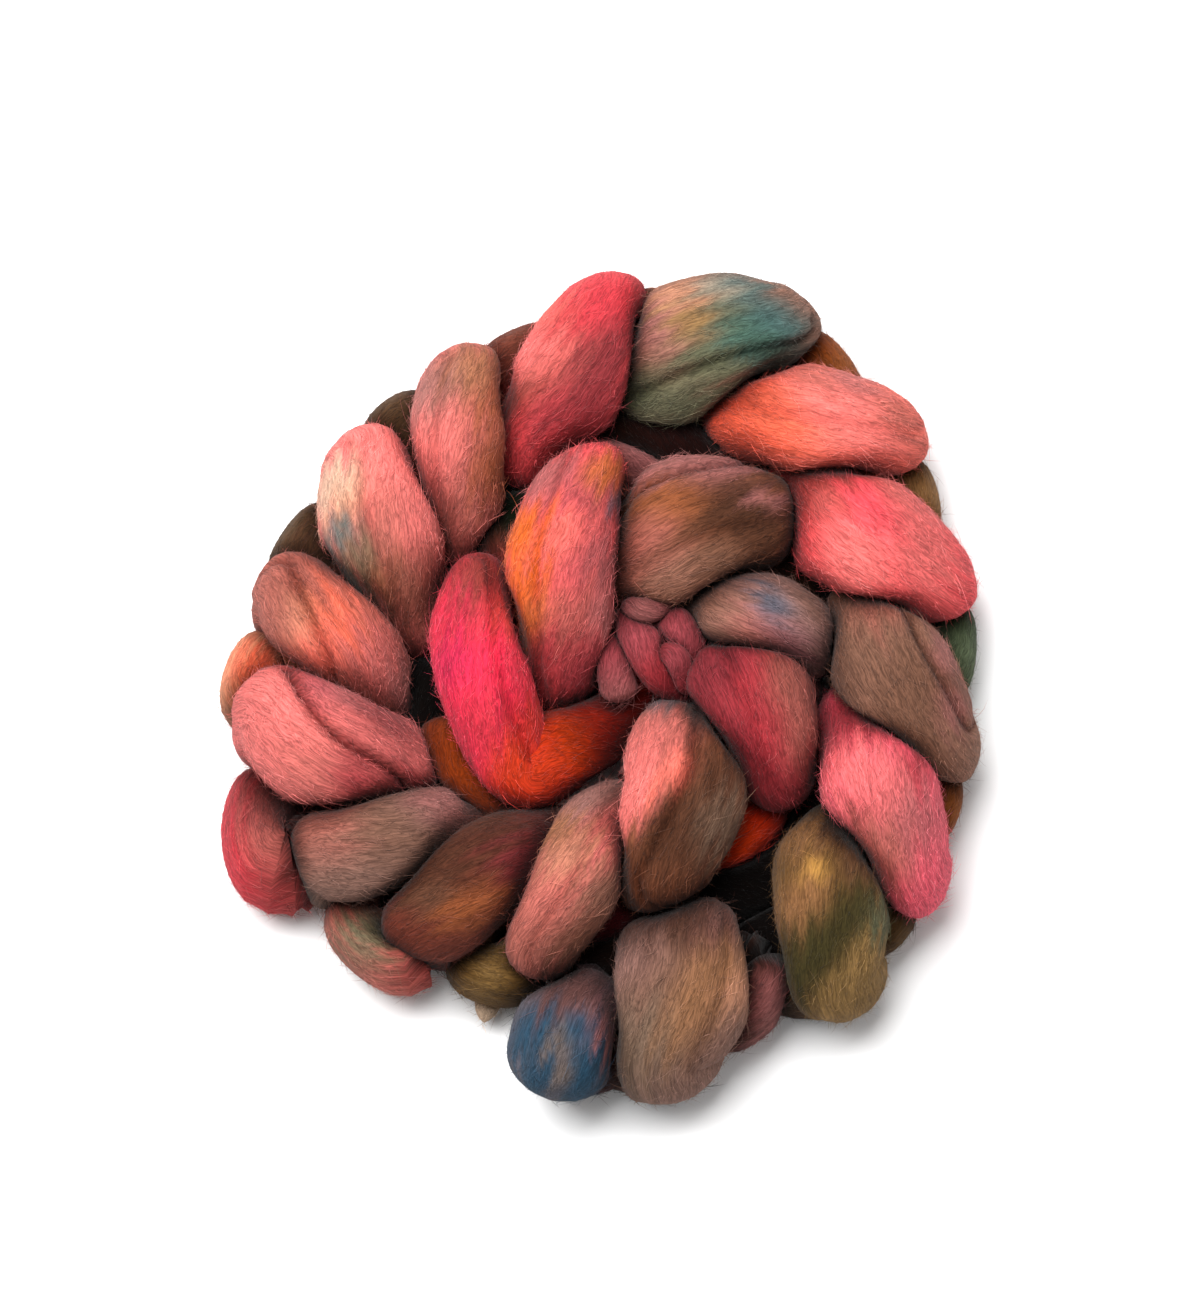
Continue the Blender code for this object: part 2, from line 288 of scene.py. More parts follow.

# The patches of dye, the lobes' first and then the crescents'. A few dark patches are painted shade, as
# marked.
WASHES: tuple[Wash, ...] = (
    Wash(0, -11, -3, 3.6, Dye.DEEP_TEAL, 3.4),
    Wash(0, -9, -13, 3.6, Dye.DEEP_TEAL, 3.0),
    Wash(0, 5, 2, 3.0, Dye.DEEP_TEAL, 4.0),
    Wash(0, 6, -9, 3.4, Dye.DEEP_TEAL, 4.0),
    Wash(0, 3, -17, 3.6, Dye.DEEP_TEAL, 2.6),
    Wash(0, -3, -3, 3.4, Dye.ASH, 1.6),
    Wash(0, -1, -12, 3.0, Dye.ASH, 1.2),
    Wash(0, 13, 10, 4, Dye.PLUM, 2.2),
    Wash(0, 14, -2, 3, Dye.MAUVE, 2.0),
    Wash(0, 2, 13, 6, Dye.PURPLE_BROWN, 3.0),
    Wash(0, 12, 2, 3.4, Dye.MAUVE, 3.0),
    Wash(0, 0, 0, 3.4, Dye.DEEP_TEAL, 2.0),
    Wash(0, -9.6, 2.6, 4, Dye.DEEP_TEAL, 1.6),
    Wash(0, 11, 8, 4, Dye.GREY_MAUVE, 1.2),
    Wash(1, -2, 22, 7, Dye.PURPLE_BROWN, 2.2),
    Wash(1, 12, 16, 6, Dye.PURPLE_BROWN, 1.4),
    Wash(1, 12, 3, 6, Dye.BRONZE, 2.0),
    Wash(1, 6, -9, 6, Dye.BRONZE, 1.6),
    Wash(1, -1, -18, 5, Dye.BRONZE, 1.0),
    Wash(1, -10, -20, 8, Dye.ASH, 1.6),
    Wash(1, 18, -4, 4, Dye.TAN, 0.9),
    Wash(1, -11, 8, 7, Dye.GREY_MAUVE, 1.8),
    # Painted shade: this dark brown patch darkens the lobe's end, which lies in a hollow.
    Wash(1, 2, 17, 6, Dye.DARK_BROWN, 4.0),
    Wash(1, -6, 0, 9, Dye.TAUPE, 0.9),
    # Painted shade: these two dark brown patches also darken the lobe's end in the hollow.
    Wash(1, -9, 12, 5, Dye.DARK_BROWN, 3.0),
    Wash(1, 1, 13, 5, Dye.DARK_BROWN, 2.5),
    Wash(1, 11, 10, 5, Dye.PURPLE_BROWN, 1.6),
    Wash(2, -5.3, 5, 2.3, Dye.GOLD, 6.0),
    Wash(2, -8, -3, 5, Dye.BRONZE, 3.4),
    Wash(2, -8, 14, 5, Dye.BRONZE, 1.8),
    Wash(2, 3, 21, 6, Dye.DARK_BROWN, 2.6),
    Wash(2, 9, 9, 5, Dye.UMBER, 1.6),
    Wash(2, 5, -7, 5, Dye.DARK_OLIVE, 3.4),
    Wash(2, -3, -17, 5, Dye.DARK_OLIVE, 4.0),
    Wash(2, -10, -23, 5, Dye.DARK_OLIVE, 2.4),
    Wash(2, 10, -20, 5, Dye.KHAKI, 2.6),
    Wash(2, 3, -29, 5, Dye.KHAKI, 2.0),
    Wash(2, 14, -8, 4, Dye.SAGE, 1.6),
    Wash(2, -6, 2, 8, Dye.OLIVE, 1.2),
    Wash(2, -8, -12, 5, Dye.DARK_OLIVE, 1.6),
    Wash(2, -9, 11, 5, Dye.OLIVE, 2.0),
    Wash(3, 0, -22, 6, Dye.ROSEWOOD, 3.0),
    Wash(3, -6, -24, 4, Dye.RED_BROWN, 2.6),
    Wash(3, -8, -15, 4, Dye.RED_BROWN, 1.6),
    Wash(3, -7, 20, 6, Dye.WINE, 1.6),
    Wash(3, -8, 2, 7, Dye.PINK, 0.6),
    Wash(3, 9, -12, 6, Dye.MAUVE, 0.9),
    Wash(3, 2, -5, 7, Dye.DUSTY_PINK, 0.8),
    Wash(3, 10, 4, 3.5, Dye.WINE, 1.6),
    Wash(4, -10, 4, 7, Dye.TAUPE, 1.6),
    Wash(4, 2, -2, 8, Dye.TAUPE, 0.8),
    Wash(4, 4, -14, 7, Dye.TAUPE, 1.8),
    Wash(4, -6, 15, 6, Dye.ROSEWOOD, 0.8),
    Wash(4, 14, 2, 4, Dye.MAUVE, 1.6),
    Wash(4, 15, -12, 4, Dye.MAUVE, 2.4),
    Wash(4, 4, -13, 9, Dye.UMBER, 1.4),
    Wash(4, 14, -7, 5, Dye.UMBER, 1.6),
    Wash(4, -9, -5, 6, Dye.TAUPE, 0.8),
    Wash(5, -16, 16, 6, Dye.RED_BROWN, 1.4),
    Wash(5, -4, 17, 5, Dye.RED_BROWN, 1.2),
    Wash(5, -13, 6, 5, Dye.ROSEWOOD, 1.2),
    Wash(5, 2, 2, 9, Dye.HOT_PINK, 0.3),
    Wash(5, -3, -13, 7, Dye.PINK, 1.6),
    Wash(5, 15, 6, 7, Dye.DUSTY_PINK, 1.5),
    Wash(5, 17, -12, 7, Dye.DUSTY_PINK, 1.4),
    Wash(5, 8, 10, 5, Dye.ROSEWOOD, 0.9),
    Wash(5, -14, 8, 5, Dye.CRIMSON, 0.8),
    Wash(6, -19, 1, 8, Dye.CORAL, 2.6),
    Wash(6, -8, -5, 7, Dye.CORAL, 1.0),
    Wash(6, 2, 1, 7, Dye.PINK, 1.0),
    Wash(6, 16, -4, 8, Dye.PINK, 1.4),
    Wash(6, 13, 9, 5, Dye.MAUVE, 1.4),
    Wash(6, 24, -2, 4, Dye.ROSEWOOD, 1.8),
    Wash(6, 1, 9, 5, Dye.ROSEWOOD, 1.2),
    Wash(6, -15, 2, 5, Dye.RED_BROWN, 1.6),
    Wash(7, -16, 4, 8, Dye.MAUVE, 0.8),
    Wash(7, -2, 3, 4, Dye.KHAKI, 3.4),
    Wash(7, 5, -8, 5, Dye.SAGE, 2.6),
    Wash(7, 8, 8, 5, Dye.SAGE, 1.6),
    Wash(7, 15, -1, 6, Dye.SEA_GREEN, 3.0),
    Wash(7, 12, 14, 5, Dye.TEAL, 2.4),
    Wash(7, 22, 4, 6, Dye.TEAL, 2.2),
    Wash(7, -16, -16, 5, Dye.SAGE, 3.0),
    Wash(7, -3, -20, 6, Dye.SAGE, 3.0),
    Wash(7, -5, 11, 5, Dye.TAN, 1.2),
    Wash(7, 5, -11, 5, Dye.SAGE, 1.0),
    Wash(7, 8, 14, 4, Dye.CREAM, 1.4),
    Wash(7, 15, -5, 4, Dye.TEAL, 0.8),
    Wash(8, -13, 0, 5.5, Dye.PINK, 2.2),
    Wash(8, -6, 16, 6, Dye.SALMON, 0.8),
    Wash(8, 8, 16, 8, Dye.CRIMSON, 2.8),
    Wash(8, 9, 1, 6, Dye.MAROON, 1.8),
    Wash(8, 5, -14, 7, Dye.MAROON, 1.6),
    Wash(8, -6, -17, 5, Dye.WINE, 1.2),
    Wash(8, 0, 0, 8, Dye.ROSEWOOD, 0.7),
    Wash(8, 9, -5, 5, Dye.MAROON, 1.2),
    Wash(8, 14, 8, 5, Dye.MAROON, 1.0),
    Wash(8, -14, -8, 5, Dye.RED_BROWN, 1.6),
    Wash(9, 3, 20, 7, Dye.BRONZE, 1.8),
    Wash(9, -8, 14, 7, Dye.GREY_MAUVE, 1.2),
    Wash(9, -6, -2, 8, Dye.PINK, 0.8),
    Wash(9, 10, 8, 6, Dye.RUST, 1.8),
    Wash(9, 11, -9, 6, Dye.RUST, 2.6),
    Wash(9, 0, -22, 7, Dye.ROSEWOOD, 1.0),
    Wash(9, 0, 0, 7, Dye.ROSEWOOD, 0.5),
    Wash(10, -15, 12, 5, Dye.CREAM, 2.4),
    Wash(10, -13, 3, 4, Dye.TAN, 1.6),
    Wash(10, -13, -2, 3.2, Dye.TEAL, 4.4),
    Wash(10, -8, -10, 5, Dye.SAGE, 2.4),
    Wash(10, -2, -16, 5, Dye.OLIVE, 1.6),
    Wash(10, 7, -20, 6, Dye.UMBER, 1.6),
    Wash(10, 9, 3, 6, Dye.DUSTY_PINK, 0.8),
    Wash(10, 0, 0, 7, Dye.ROSEWOOD, 0.8),
    Wash(10, -12, 10, 4, Dye.TAN, 1.0),
    Wash(10, 12, -10, 5, Dye.RED_BROWN, 0.8),
    Wash(11, -9, 12, 6, Dye.RED_BROWN, 0.6),
    Wash(11, -9, 2, 5, Dye.TAN, 1.2),
    Wash(11, 1, 4, 7, Dye.CORAL, 1.5),
    Wash(11, -6, -6, 6, Dye.SALMON, 1.2),
    Wash(11, 8, 8, 5, Dye.ROSEWOOD, 1.4),
    Wash(11, 11, -8, 7, Dye.DUSTY_PINK, 1.4),
    Wash(11, 18, -14, 4, Dye.MAUVE, 1.2),
    Wash(11, 0, 14, 6, Dye.ROSEWOOD, 1.6),
    Wash(11, -14, 3, 5, Dye.ROSEWOOD, 1.6),
    Wash(12, -12, 6, 8, Dye.PINK, 0.6),
    Wash(12, 3, 14, 5, Dye.MAUVE, 1.8),
    Wash(12, -6, -11, 8, Dye.ROSEWOOD, 0.3),
    Wash(12, 16, -2, 6, Dye.DUSTY_PINK, 1.0),
    Wash(12, 20, -14, 5, Dye.WINE, 1.2),
    Wash(12, 5, 11, 5, Dye.WINE, 0.8),
    Wash(12, -6, 14, 5, Dye.DUSK, 1.6),
    Wash(12, 15, 4, 5, Dye.MAROON, 1.4),
    Wash(12, 6, -14, 5, Dye.WINE, 1.4),
    Wash(13, -17, 0, 8, Dye.ROSEWOOD, 1.0),
    Wash(13, 0, -3, 7, Dye.TAUPE, 1.2),
    Wash(13, 18, 8, 7, Dye.MAUVE, 0.8),
    Wash(14, -5, -12, 4, Dye.RUST, 1.2),
    Wash(14, 4, -8, 4, Dye.RUST, 0.6),
    Wash(14, 14, 8, 8, Dye.MAROON, 0.8),
    Wash(14, -9, 5, 6, Dye.DARK_BROWN, 1.2),
    Wash(14, -14, -8, 4, Dye.UMBER, 1.6),
    Wash(14, 5, 14, 6, Dye.DARK_BROWN, 2.5),
    Wash(14, -6, 2, 10, Dye.DARK_BROWN, 0.6),
    Wash(14, -15, -2, 6, Dye.DARK_BROWN, 1.2),
    Wash(14, 15, 2, 6, Dye.MAROON, 1.0),
    Wash(15, 4, 22, 6, Dye.GREY_MAUVE, 2.4),
    Wash(15, -5, 10, 5, Dye.BRONZE, 1.6),
    Wash(15, -2, 0, 5, Dye.TAN, 1.6),
    Wash(15, 10, 14, 4, Dye.DUSTY_PINK, 1.6),
    Wash(15, 12, 6, 4, Dye.DUSTY_PINK, 1.8),
    Wash(15, -6, -10, 6, Dye.PINK, 0.9),
    Wash(15, 8, -10, 5, Dye.TAUPE, 2.4),
    Wash(15, 2, -22, 6, Dye.UMBER, 1.8),
    Wash(15, 0, 0, 8, Dye.ROSEWOOD, 1.4),
    Wash(15, -6, -14, 6, Dye.ROSEWOOD, 1.8),
    Wash(15, -11, -9, 6, Dye.ROSEWOOD, 1.8),
    Wash(16, -1, 31, 6, Dye.SLATE, 2.0),
    Wash(16, -13, 7, 7, Dye.PINK, 8.0),
    Wash(16, -13, -8, 4, Dye.PINK, 4.0),
    Wash(16, -6, 14, 5, Dye.PINK, 4.0),
    Wash(16, -1, 2, 3.4, Dye.SALMON, 2.4),
    Wash(16, 6, 22, 5, Dye.GREY_MAUVE, 1.4),
    Wash(16, 12, 2, 6, Dye.DARK_BROWN, 1.8),
    Wash(16, 13, -12, 6, Dye.ASH, 1.4),
    Wash(16, 0, -16, 7, Dye.DARK_BROWN, 2.0),
    Wash(16, -7, 14, 6, Dye.TAUPE, 2.4),
    Wash(16, 2, 15, 5, Dye.RED_BROWN, 1.6),
    Wash(17, -14, 4, 7, Dye.MAROON, 1.8),
    Wash(17, -7, 14, 7, Dye.MAROON, 2.0),
    Wash(17, 0, 2, 4, Dye.CRIMSON, 0.5),
    Wash(17, 5, -13, 6, Dye.CRIMSON, 0.8),
    Wash(17, 13, 0, 6, Dye.ROSEWOOD, 2.4),
    Wash(17, -4, -20, 6, Dye.MAROON, 1.6),
    Wash(17, 14, -12, 5, Dye.ROSEWOOD, 1.4),
    Wash(17, 0, 0, 7, Dye.WINE, 0.8),
    Wash(17, 10, 5, 6, Dye.RED_BROWN, 0.8),
    Wash(17, 5, -12, 6, Dye.WINE, 1.0),
    Wash(18, 6.5, -2, 3.4, Dye.STEEL, 6.0),
    Wash(18, -12, -1, 6, Dye.FAWN, 1.4),
    Wash(18, 0, -10, 6, Dye.ROSEWOOD, 0.9),
    Wash(18, 9, -11, 5, Dye.PLUM, 1.6),
    Wash(18, 14, 3, 5, Dye.TAUPE, 1.2),
    Wash(18, 10, -4, 4, Dye.GREY_MAUVE, 1.4),
    Wash(18, 6, -11, 5, Dye.MAUVE, 1.4),
    Wash(18, 11, 4, 4, Dye.GREY_MAUVE, 1.2),
    Wash(19, -15, -8, 7, Dye.ROSEWOOD, 2.4),
    Wash(19, -6, -15, 6, Dye.FAWN, 1.8),
    Wash(19, -4, 8, 7, Dye.RUST, 0.9),
    Wash(19, 14, 5, 7, Dye.DARK_BROWN, 3.4),
    Wash(19, 20, -4, 5, Dye.DARK_BROWN, 1.8),
    Wash(19, 8, -12, 6, Dye.TAUPE, 1.2),
    Wash(19, -13, 15, 4, Dye.MAUVE, 3.4),
    Wash(19, -2, 21, 4, Dye.MAUVE, 3.6),
    Wash(19, 12, 20, 4, Dye.MAUVE, 3.0),
    Wash(19, 22, 8, 3, Dye.MAUVE, 3.0),
    Wash(19, 5, 15, 5, Dye.MAUVE, 1.2),
    Wash(20, -15, 6, 4.4, Dye.ORANGE, 6.0),
    Wash(20, -14, -8, 4.0, Dye.ORANGE, 4.0),
    Wash(20, -13, -18, 4, Dye.AMBER, 2.0),
    Wash(20, -4, 4, 6, Dye.SALMON, 1.2),
    Wash(20, 9, 24, 4, Dye.AMBER, 4.0),
    Wash(20, 13, 17, 2.6, Dye.STEEL, 2.2),
    Wash(20, 10, -2, 5, Dye.MAUVE, 1.6),
    Wash(20, 10, -16, 5, Dye.MAUVE, 1.8),
    Wash(20, 4, -32, 6, Dye.MAROON, 2.2),
    Wash(20, -6, -27, 5, Dye.WINE, 1.2),
    Wash(20, -8, 24, 6, Dye.MAUVE, 1.6),
    Wash(20, 0, 0, 7, Dye.DUSK, 0.7),
    Wash(20, 10, -1, 4, Dye.MAROON, 1.4),
    Wash(20, -2, -18, 6, Dye.ROSEWOOD, 1.0),
    Wash(20, 10, 14, 5, Dye.PURPLE_BROWN, 0.8),
    Wash(20, 4, 20, 6, Dye.DUSK, 1.4),
    Wash(21, -4, 28, 7, Dye.RED_BROWN, 2.6),
    Wash(21, -13, 2, 4, Dye.MAGENTA, 2.4),
    Wash(21, -9, 18, 5, Dye.MAGENTA, 0.6),
    Wash(21, 2, 18, 6, Dye.CRIMSON, 1.6),
    Wash(21, 9, 2, 4, Dye.CRIMSON, 1.6),
    Wash(21, 6, -29, 6, Dye.FLAME, 3.2),
    Wash(21, 13, -33, 6, Dye.FIRE, 6.0),
    Wash(21, 3, 18, 5, Dye.CORAL, 1.0),
    Wash(21, -11, 14, 5, Dye.CRIMSON, 0.8),
    Wash(21, -3, -17, 6, Dye.CRIMSON, 1.0),
    Wash(21, 11, -14, 5, Dye.FIRE, 1.2),
    Wash(1, 2, -8, 5, Dye.MAUVE, 2.0, Where.CRESCENT),
    Wash(1, -2, 6, 6, Dye.DARK_BROWN, 1.4, Where.CRESCENT),
    Wash(6, 4, 2, 6, Dye.AMBER, 1.4, Where.CRESCENT),
    Wash(10, 2, 5, 6, Dye.UMBER, 1.2, Where.CRESCENT),
    Wash(11, 0, 7, 6, Dye.CORAL, 2.4, Where.CRESCENT),
    Wash(11, -2, -2, 5, Dye.TAN, 1.6, Where.CRESCENT),
    Wash(11, 2, -11, 6, Dye.STEEL, 4.0, Where.CRESCENT),
    Wash(12, 2, 13, 9, Dye.PURPLE_BROWN, 3.0, Where.CRESCENT),
    Wash(12, 6, -8, 7, Dye.DUSTY_PINK, 1.2, Where.CRESCENT),
    Wash(12, 0, 2, 6, Dye.ROSEWOOD, 1.4, Where.CRESCENT),
    Wash(13, -8, 3, 6, Dye.SAGE, 2.4, Where.CRESCENT),
    Wash(13, 4, -4, 6, Dye.PINK, 0.8, Where.CRESCENT),
    Wash(14, -6, 2, 6, Dye.KHAKI, 1.4, Where.CRESCENT),
)

# The clearest lengthwise splits.
CLEFTS: tuple[Cleft, ...] = (
    Cleft(1, 0.60, 0.86, 0.8, 1.8),
    Cleft(4, 0.60, 0.80, 2.4, 1.6),
    Cleft(6, -0.35, 0.10, 0.8, 1.6),
    Cleft(7, -0.72, -0.45, 2.4, 1.5),
    Cleft(9, 0.45, 0.62, 0.9, 1.6),
    Cleft(10, 0.30, 0.10, 0.7, 2.0),
    Cleft(11, -0.62, 0.92, 2.6, 1.6, 2.6),
    Cleft(12, -0.96, 0.86, 4.4, 1.5),
    Cleft(15, -0.20, 0.30, 0.7, 1.6),
    Cleft(16, -0.50, 0.64, 2.0, 1.5),
    Cleft(17, -0.40, 0.10, 0.7, 1.8),
    Cleft(19, 0.72, 0.80, 3.0, 1.4),
    Cleft(19, -0.70, 0.16, 1.0, 1.8),
    Cleft(20, 0.50, 0.62, 1.0, 1.8),
    Cleft(21, -0.55, -0.20, 1.2, 1.8),
)

# Where the strand runs after its last lobe, into the middle. Its stretch between the neighbours takes a
# darker dye, partly painted shade.
INNER_END: Course = (
    (Station(-14, -22, 26, 28), Dye.FIRE),
    (Station(-2, -14, 22, 24), Dye.SHADED_EMBER),
    (Station(11, -5, 18, 20), Dye.SHADED_EMBER),
    (Station(21, 6, 15, 18), Dye.SHADED_EMBER),
    (Station(28, 16, 22, 14), Dye.MAROON),
    (Station(18, 9, 29, 13), Dye.CRIMSON),
    (Station(9, 14, 30, 14), Dye.CRIMSON),
    (Station(4, 16, 31, 12), Dye.MAUVE),
    (Station(3, 2, 27, 12), Dye.MAUVE),
)

LOOSE: tuple[Loose, ...] = (
    Loose("frizz_1", 44000, 1, 1.4, 3.8, 0.60, 2.2, 0.12, 0.42, 0.0),
    Loose("frizz_2", 44000, 1, 1.8, 4.2, 1.20, 3.2, 0.11, 0.50, 0.0),
    Loose("curled_1", 8500, 3, 3.5, 9.0, 0.75, 2.8, 0.12, 0.40, 0.32),
    Loose("curled_2", 8500, 3, 3.5, 9.0, 0.75, 2.8, 0.12, 0.40, 0.32),
    Loose("stray", 240, 7, 9.0, 20.0, 1.60, 4.0, 0.12, 0.50, 0.26),
)

# The deeper turns that show in the hollows. They are painted almost black with shade, as wool that lies
# deep in the coil.
UNDER_TURNS: tuple[Course, ...] = (
    (
        (Station(32, -82, 9, 22), Dye.DARK_BROWN),
        (Station(50, -72, 10, 26), Dye.DARK_BROWN),
        (Station(63, -58, 9, 20), Dye.DARK_BROWN),
    ),
    (
        (Station(-54, 14, 10, 24), Dye.DARK_BROWN),
        (Station(-50, -4, 12, 26), Dye.DARK_BROWN),
        (Station(-42, -22, 12, 26), Dye.MAHOGANY),
        (Station(-26, -34, 12, 24), Dye.MAHOGANY),
    ),
    (
        (Station(-20, 8, 9, 22), Dye.MAROON),
        (Station(-14, -12, 9, 24), Dye.MAROON),
        (Station(2, -6, 9, 24), Dye.MAROON),
        (Station(12, 14, 9, 24), Dye.MAROON),
    ),
    (
        (Station(-14, 74, 13, 24), Dye.BROWN),
        (Station(6, 80, 16, 26), Dye.BROWN),
        (Station(24, 74, 17, 26), Dye.RED_BROWN),
        (Station(42, 62, 13, 24), Dye.RED_BROWN),
    ),
    (
        (Station(14, -56, 8, 24), Dye.DARK_BROWN),
        (Station(32, -58, 9, 28), Dye.DARK_BROWN),
        (Station(50, -54, 9, 28), Dye.DARK_BROWN),
        (Station(64, -36, 10, 22), Dye.DARK_BROWN),
        (Station(68, -10, 12, 22), Dye.DARK_BROWN),
    ),
    (
        (Station(68, 6, 12, 20), Dye.DARK_BROWN),
        (Station(68, 28, 12, 20), Dye.DARK_BROWN),
        (Station(60, 48, 12, 20), Dye.BROWN),
    ),
    (
        (Station(-12, -86, 12, 22), Dye.TAUPE),
        (Station(6, -76, 13, 22), Dye.TAUPE),
        (Station(24, -70, 12, 22), Dye.DARK_BROWN),
    ),
)

BURIED = Manner(segments=64, soft_end=12.0, step=1.4, buried=True)
CURLED = Manner(segments=44, soft_end=4.0, step=0.7, buried=False)

RELIEF: tuple[Relief, ...] = (
    Relief(0.026, 0, 16.0, (1, 3), with_fibres=False),
    Relief(0.011, 50, 34.0, (4, 9), with_fibres=True),
    Relief(0.004, 90, 22.0, (12, 22), with_fibres=True),
)

# The short curls: five in the middle, one in the left hollow and the tuft at the front.
CURLS: tuple[Course, ...] = (
    (
        (Station(4.0, 18, 28, 9), Dye.DUSK),
        (Station(5.0, 6, 33, 12), Dye.DUSK),
        (Station(8.0, -6, 29, 11), Dye.MAUVE),
    ),
    (
        (Station(6, 21, 30, 10), Dye.MAROON),
        (Station(13, 11, 34, 15), Dye.DUSK),
        (Station(19, 3, 33, 14), Dye.WINE),
        (Station(27, -7, 28, 9), Dye.MAROON),
    ),
    (
        (Station(16, 22, 30, 9), Dye.MAROON),
        (Station(23, 16, 34, 14), Dye.DUSK),
        (Station(28, 8, 34, 13), Dye.DUSK),
        (Station(29, -3, 30, 9), Dye.WINE),
    ),
    (
        (Station(8, 22, 32, 8), Dye.DUSK),
        (Station(15, 19, 37, 10), Dye.MAUVE),
        (Station(23, 22, 33, 8), Dye.DUSK),
    ),
    (
        (Station(17, 8, 35, 7), Dye.WINE),
        (Station(24, 4, 38, 9), Dye.DUSK),
        (Station(27, -5, 33, 7), Dye.WINE),
    ),
    (
        (Station(-46, -8, 16, 14), Dye.MAHOGANY),
        (Station(-42, -18, 20, 20), Dye.COPPER),
        (Station(-34, -28, 20, 20), Dye.COPPER),
        (Station(-24, -34, 18, 14), Dye.MAHOGANY),
    ),
    (
        (Station(-24, -78, 12, 14), Dye.KHAKI),
        (Station(-28.5, -85, 10, 12), Dye.KHAKI),
        (Station(-30.5, -90, 9, 8), Dye.CREAM),
        (Station(-31.6, -95, 8, 4), Dye.CREAM),
    ),
)


def unit(vectors: np.ndarray) -> np.ndarray:
    """The vectors at length one, along the last axis."""
    return vectors / np.maximum(np.linalg.norm(vectors, axis=-1, keepdims=True), SMALLEST)


def dot(first: np.ndarray, second: np.ndarray) -> np.ndarray:
    """The dot products along the last axis."""
    return np.sum(first * second, axis=-1)


def soften(values: np.ndarray, rounds: int) -> np.ndarray:
    """Smooths values on a tube, whose rings are rows and whose columns close on themselves.

    Args:
        values: One value for each of the tube's points.
        rounds: How often they are smoothed.

    Returns:
        The smoothed values.
    """
    for _ in range(rounds):
        values = (np.roll(values, 1, axis=1) + 2 * values + np.roll(values, -1, axis=1)) / 4
        padded = np.vstack([values[:1], values, values[-1:]])
        values = (padded[:-2] + 2 * values + padded[2:]) / 4
    return values


def run_length(centres: np.ndarray) -> np.ndarray:
    """The distance along a line of points, from its first."""
    return np.concatenate([[0.0], np.cumsum(np.linalg.norm(np.diff(centres, axis=0), axis=1))])


def read_curve(rows: np.ndarray, step: float) -> np.ndarray:
    """Reads rows off a smooth curve through the given rows.

    Args:
        rows: One row for each station, whose first three columns are x, y and z.
        step: How far apart the rows read lie, about.

    Returns:
        The rows read, first and last station included.
    """
    padded = np.vstack([2 * rows[0] - rows[1], rows, 2 * rows[-1] - rows[-2]])
    read = []
    for before, first, second, after in zip(padded, padded[1:], padded[2:], padded[3:]):
        count = max(1, round(float(np.linalg.norm((second - first)[:3])) / step))
        t = (np.arange(count) / count)[:, None]
        read.append(
            first
            + 0.5 * t * (second - before)
            + t**2 * (before - 2.5 * first + 2 * second - 0.5 * after)
            + t**3 * (1.5 * (first - second) + 0.5 * (after - before))
        )
    return np.vstack(read + [padded[-2:-1]])


def waves(
    seed: int, along: np.ndarray, turn: np.ndarray, pitch: float, around: tuple[int, int]
) -> np.ndarray:
    """Soft uneven relief on a tube, from -1 to 1 or so.

    Args:
        seed: Chooses the waves.
        along: Distance along the tube, in millimetres.
        turn: Angle round the tube, in radians.
        pitch: The shortest wave along the tube, in millimetres.
        around: The fewest and the most waves round the tube.

    Returns:
        The relief at each point.
    """
    chance = np.random.default_rng(seed)
    total = np.zeros(np.broadcast(along, turn).shape)
    count = 9
    longest = 3.5
    for _ in range(count):
        round_waves = int(chance.integers(around[0], around[1] + 1))
        length = pitch * chance.uniform(1.0, longest)
        total += np.sin(
            2 * math.pi * along / length * chance.choice([-1, 1])
            + round_waves * turn
            + chance.uniform(0, 2 * math.pi)
        )
    return total / math.sqrt(count)


@dataclass
class Tube:
    """One stretch of wool as rings of points.

    Each ring has its middle, half-width, flatness, the way its back points, its phase in the chain and
    its dye. The fields from along on are worked out while the wool is laid, pressed, dyed and given its
    painted shade.
    """

    centres: np.ndarray
    halves: np.ndarray
    flats: np.ndarray
    outward: np.ndarray
    phase: np.ndarray
    base: np.ndarray
    segments: int = 84
    soft_end: float = 12.0
    buried: bool = False
    tip_share: float = 0.12
    along: np.ndarray = field(init=False)
    ahead: np.ndarray = field(init=False)
    across: np.ndarray = field(init=False)
    depth: np.ndarray = field(init=False)
    turn: np.ndarray = field(init=False)
    spokes: np.ndarray = field(init=False)
    share: np.ndarray = field(init=False)
    split: np.ndarray = field(init=False)
    near: np.ndarray = field(init=False)
    pressed: np.ndarray = field(init=False)
    fibre_turn: np.ndarray = field(init=False)
    colour: np.ndarray = field(init=False)
    final: np.ndarray = field(init=False)

    def __post_init__(self) -> None:
        """Works out the tube's own axes, and rounds off its two ends."""
        self.along = run_length(self.centres)
        self.ahead = unit(np.gradient(self.centres, axis=0))
        self.across = unit(np.cross(self.ahead, self.outward))
        self.depth = np.cross(self.across, self.ahead)
        near = np.clip(np.minimum(self.along, self.along[-1] - self.along) / self.soft_end, 0.0, 1.0)
        self.halves = self.halves * np.clip(np.sqrt(1.0 - (1.0 - near) ** 2), self.tip_share, 1.0)
        self.turn = 2 * math.pi * np.arange(self.segments) / self.segments
        spokes = (
            self.across[:, None] * np.cos(self.turn)[None, :, None]
            + self.depth[:, None] * (np.sin(self.turn)[None, :, None] * self.flats[:, None, None])
        )
        self.spokes = spokes * self.halves[:, None, None]
        self.share = np.ones(self.spokes.shape[:2])
        self.split = np.zeros(self.spokes.shape[:2])
        self.near = np.zeros(self.spokes.shape[:2])

    @property
    def short(self) -> bool:
        """Whether it is a short stretch of its own and not the chain's strand."""
        return bool(self.phase[0] < 0)

    def points(self) -> np.ndarray:
        """The tube's points, ring by ring."""
        return self.centres[:, None] + self.spokes * self.share[..., None]


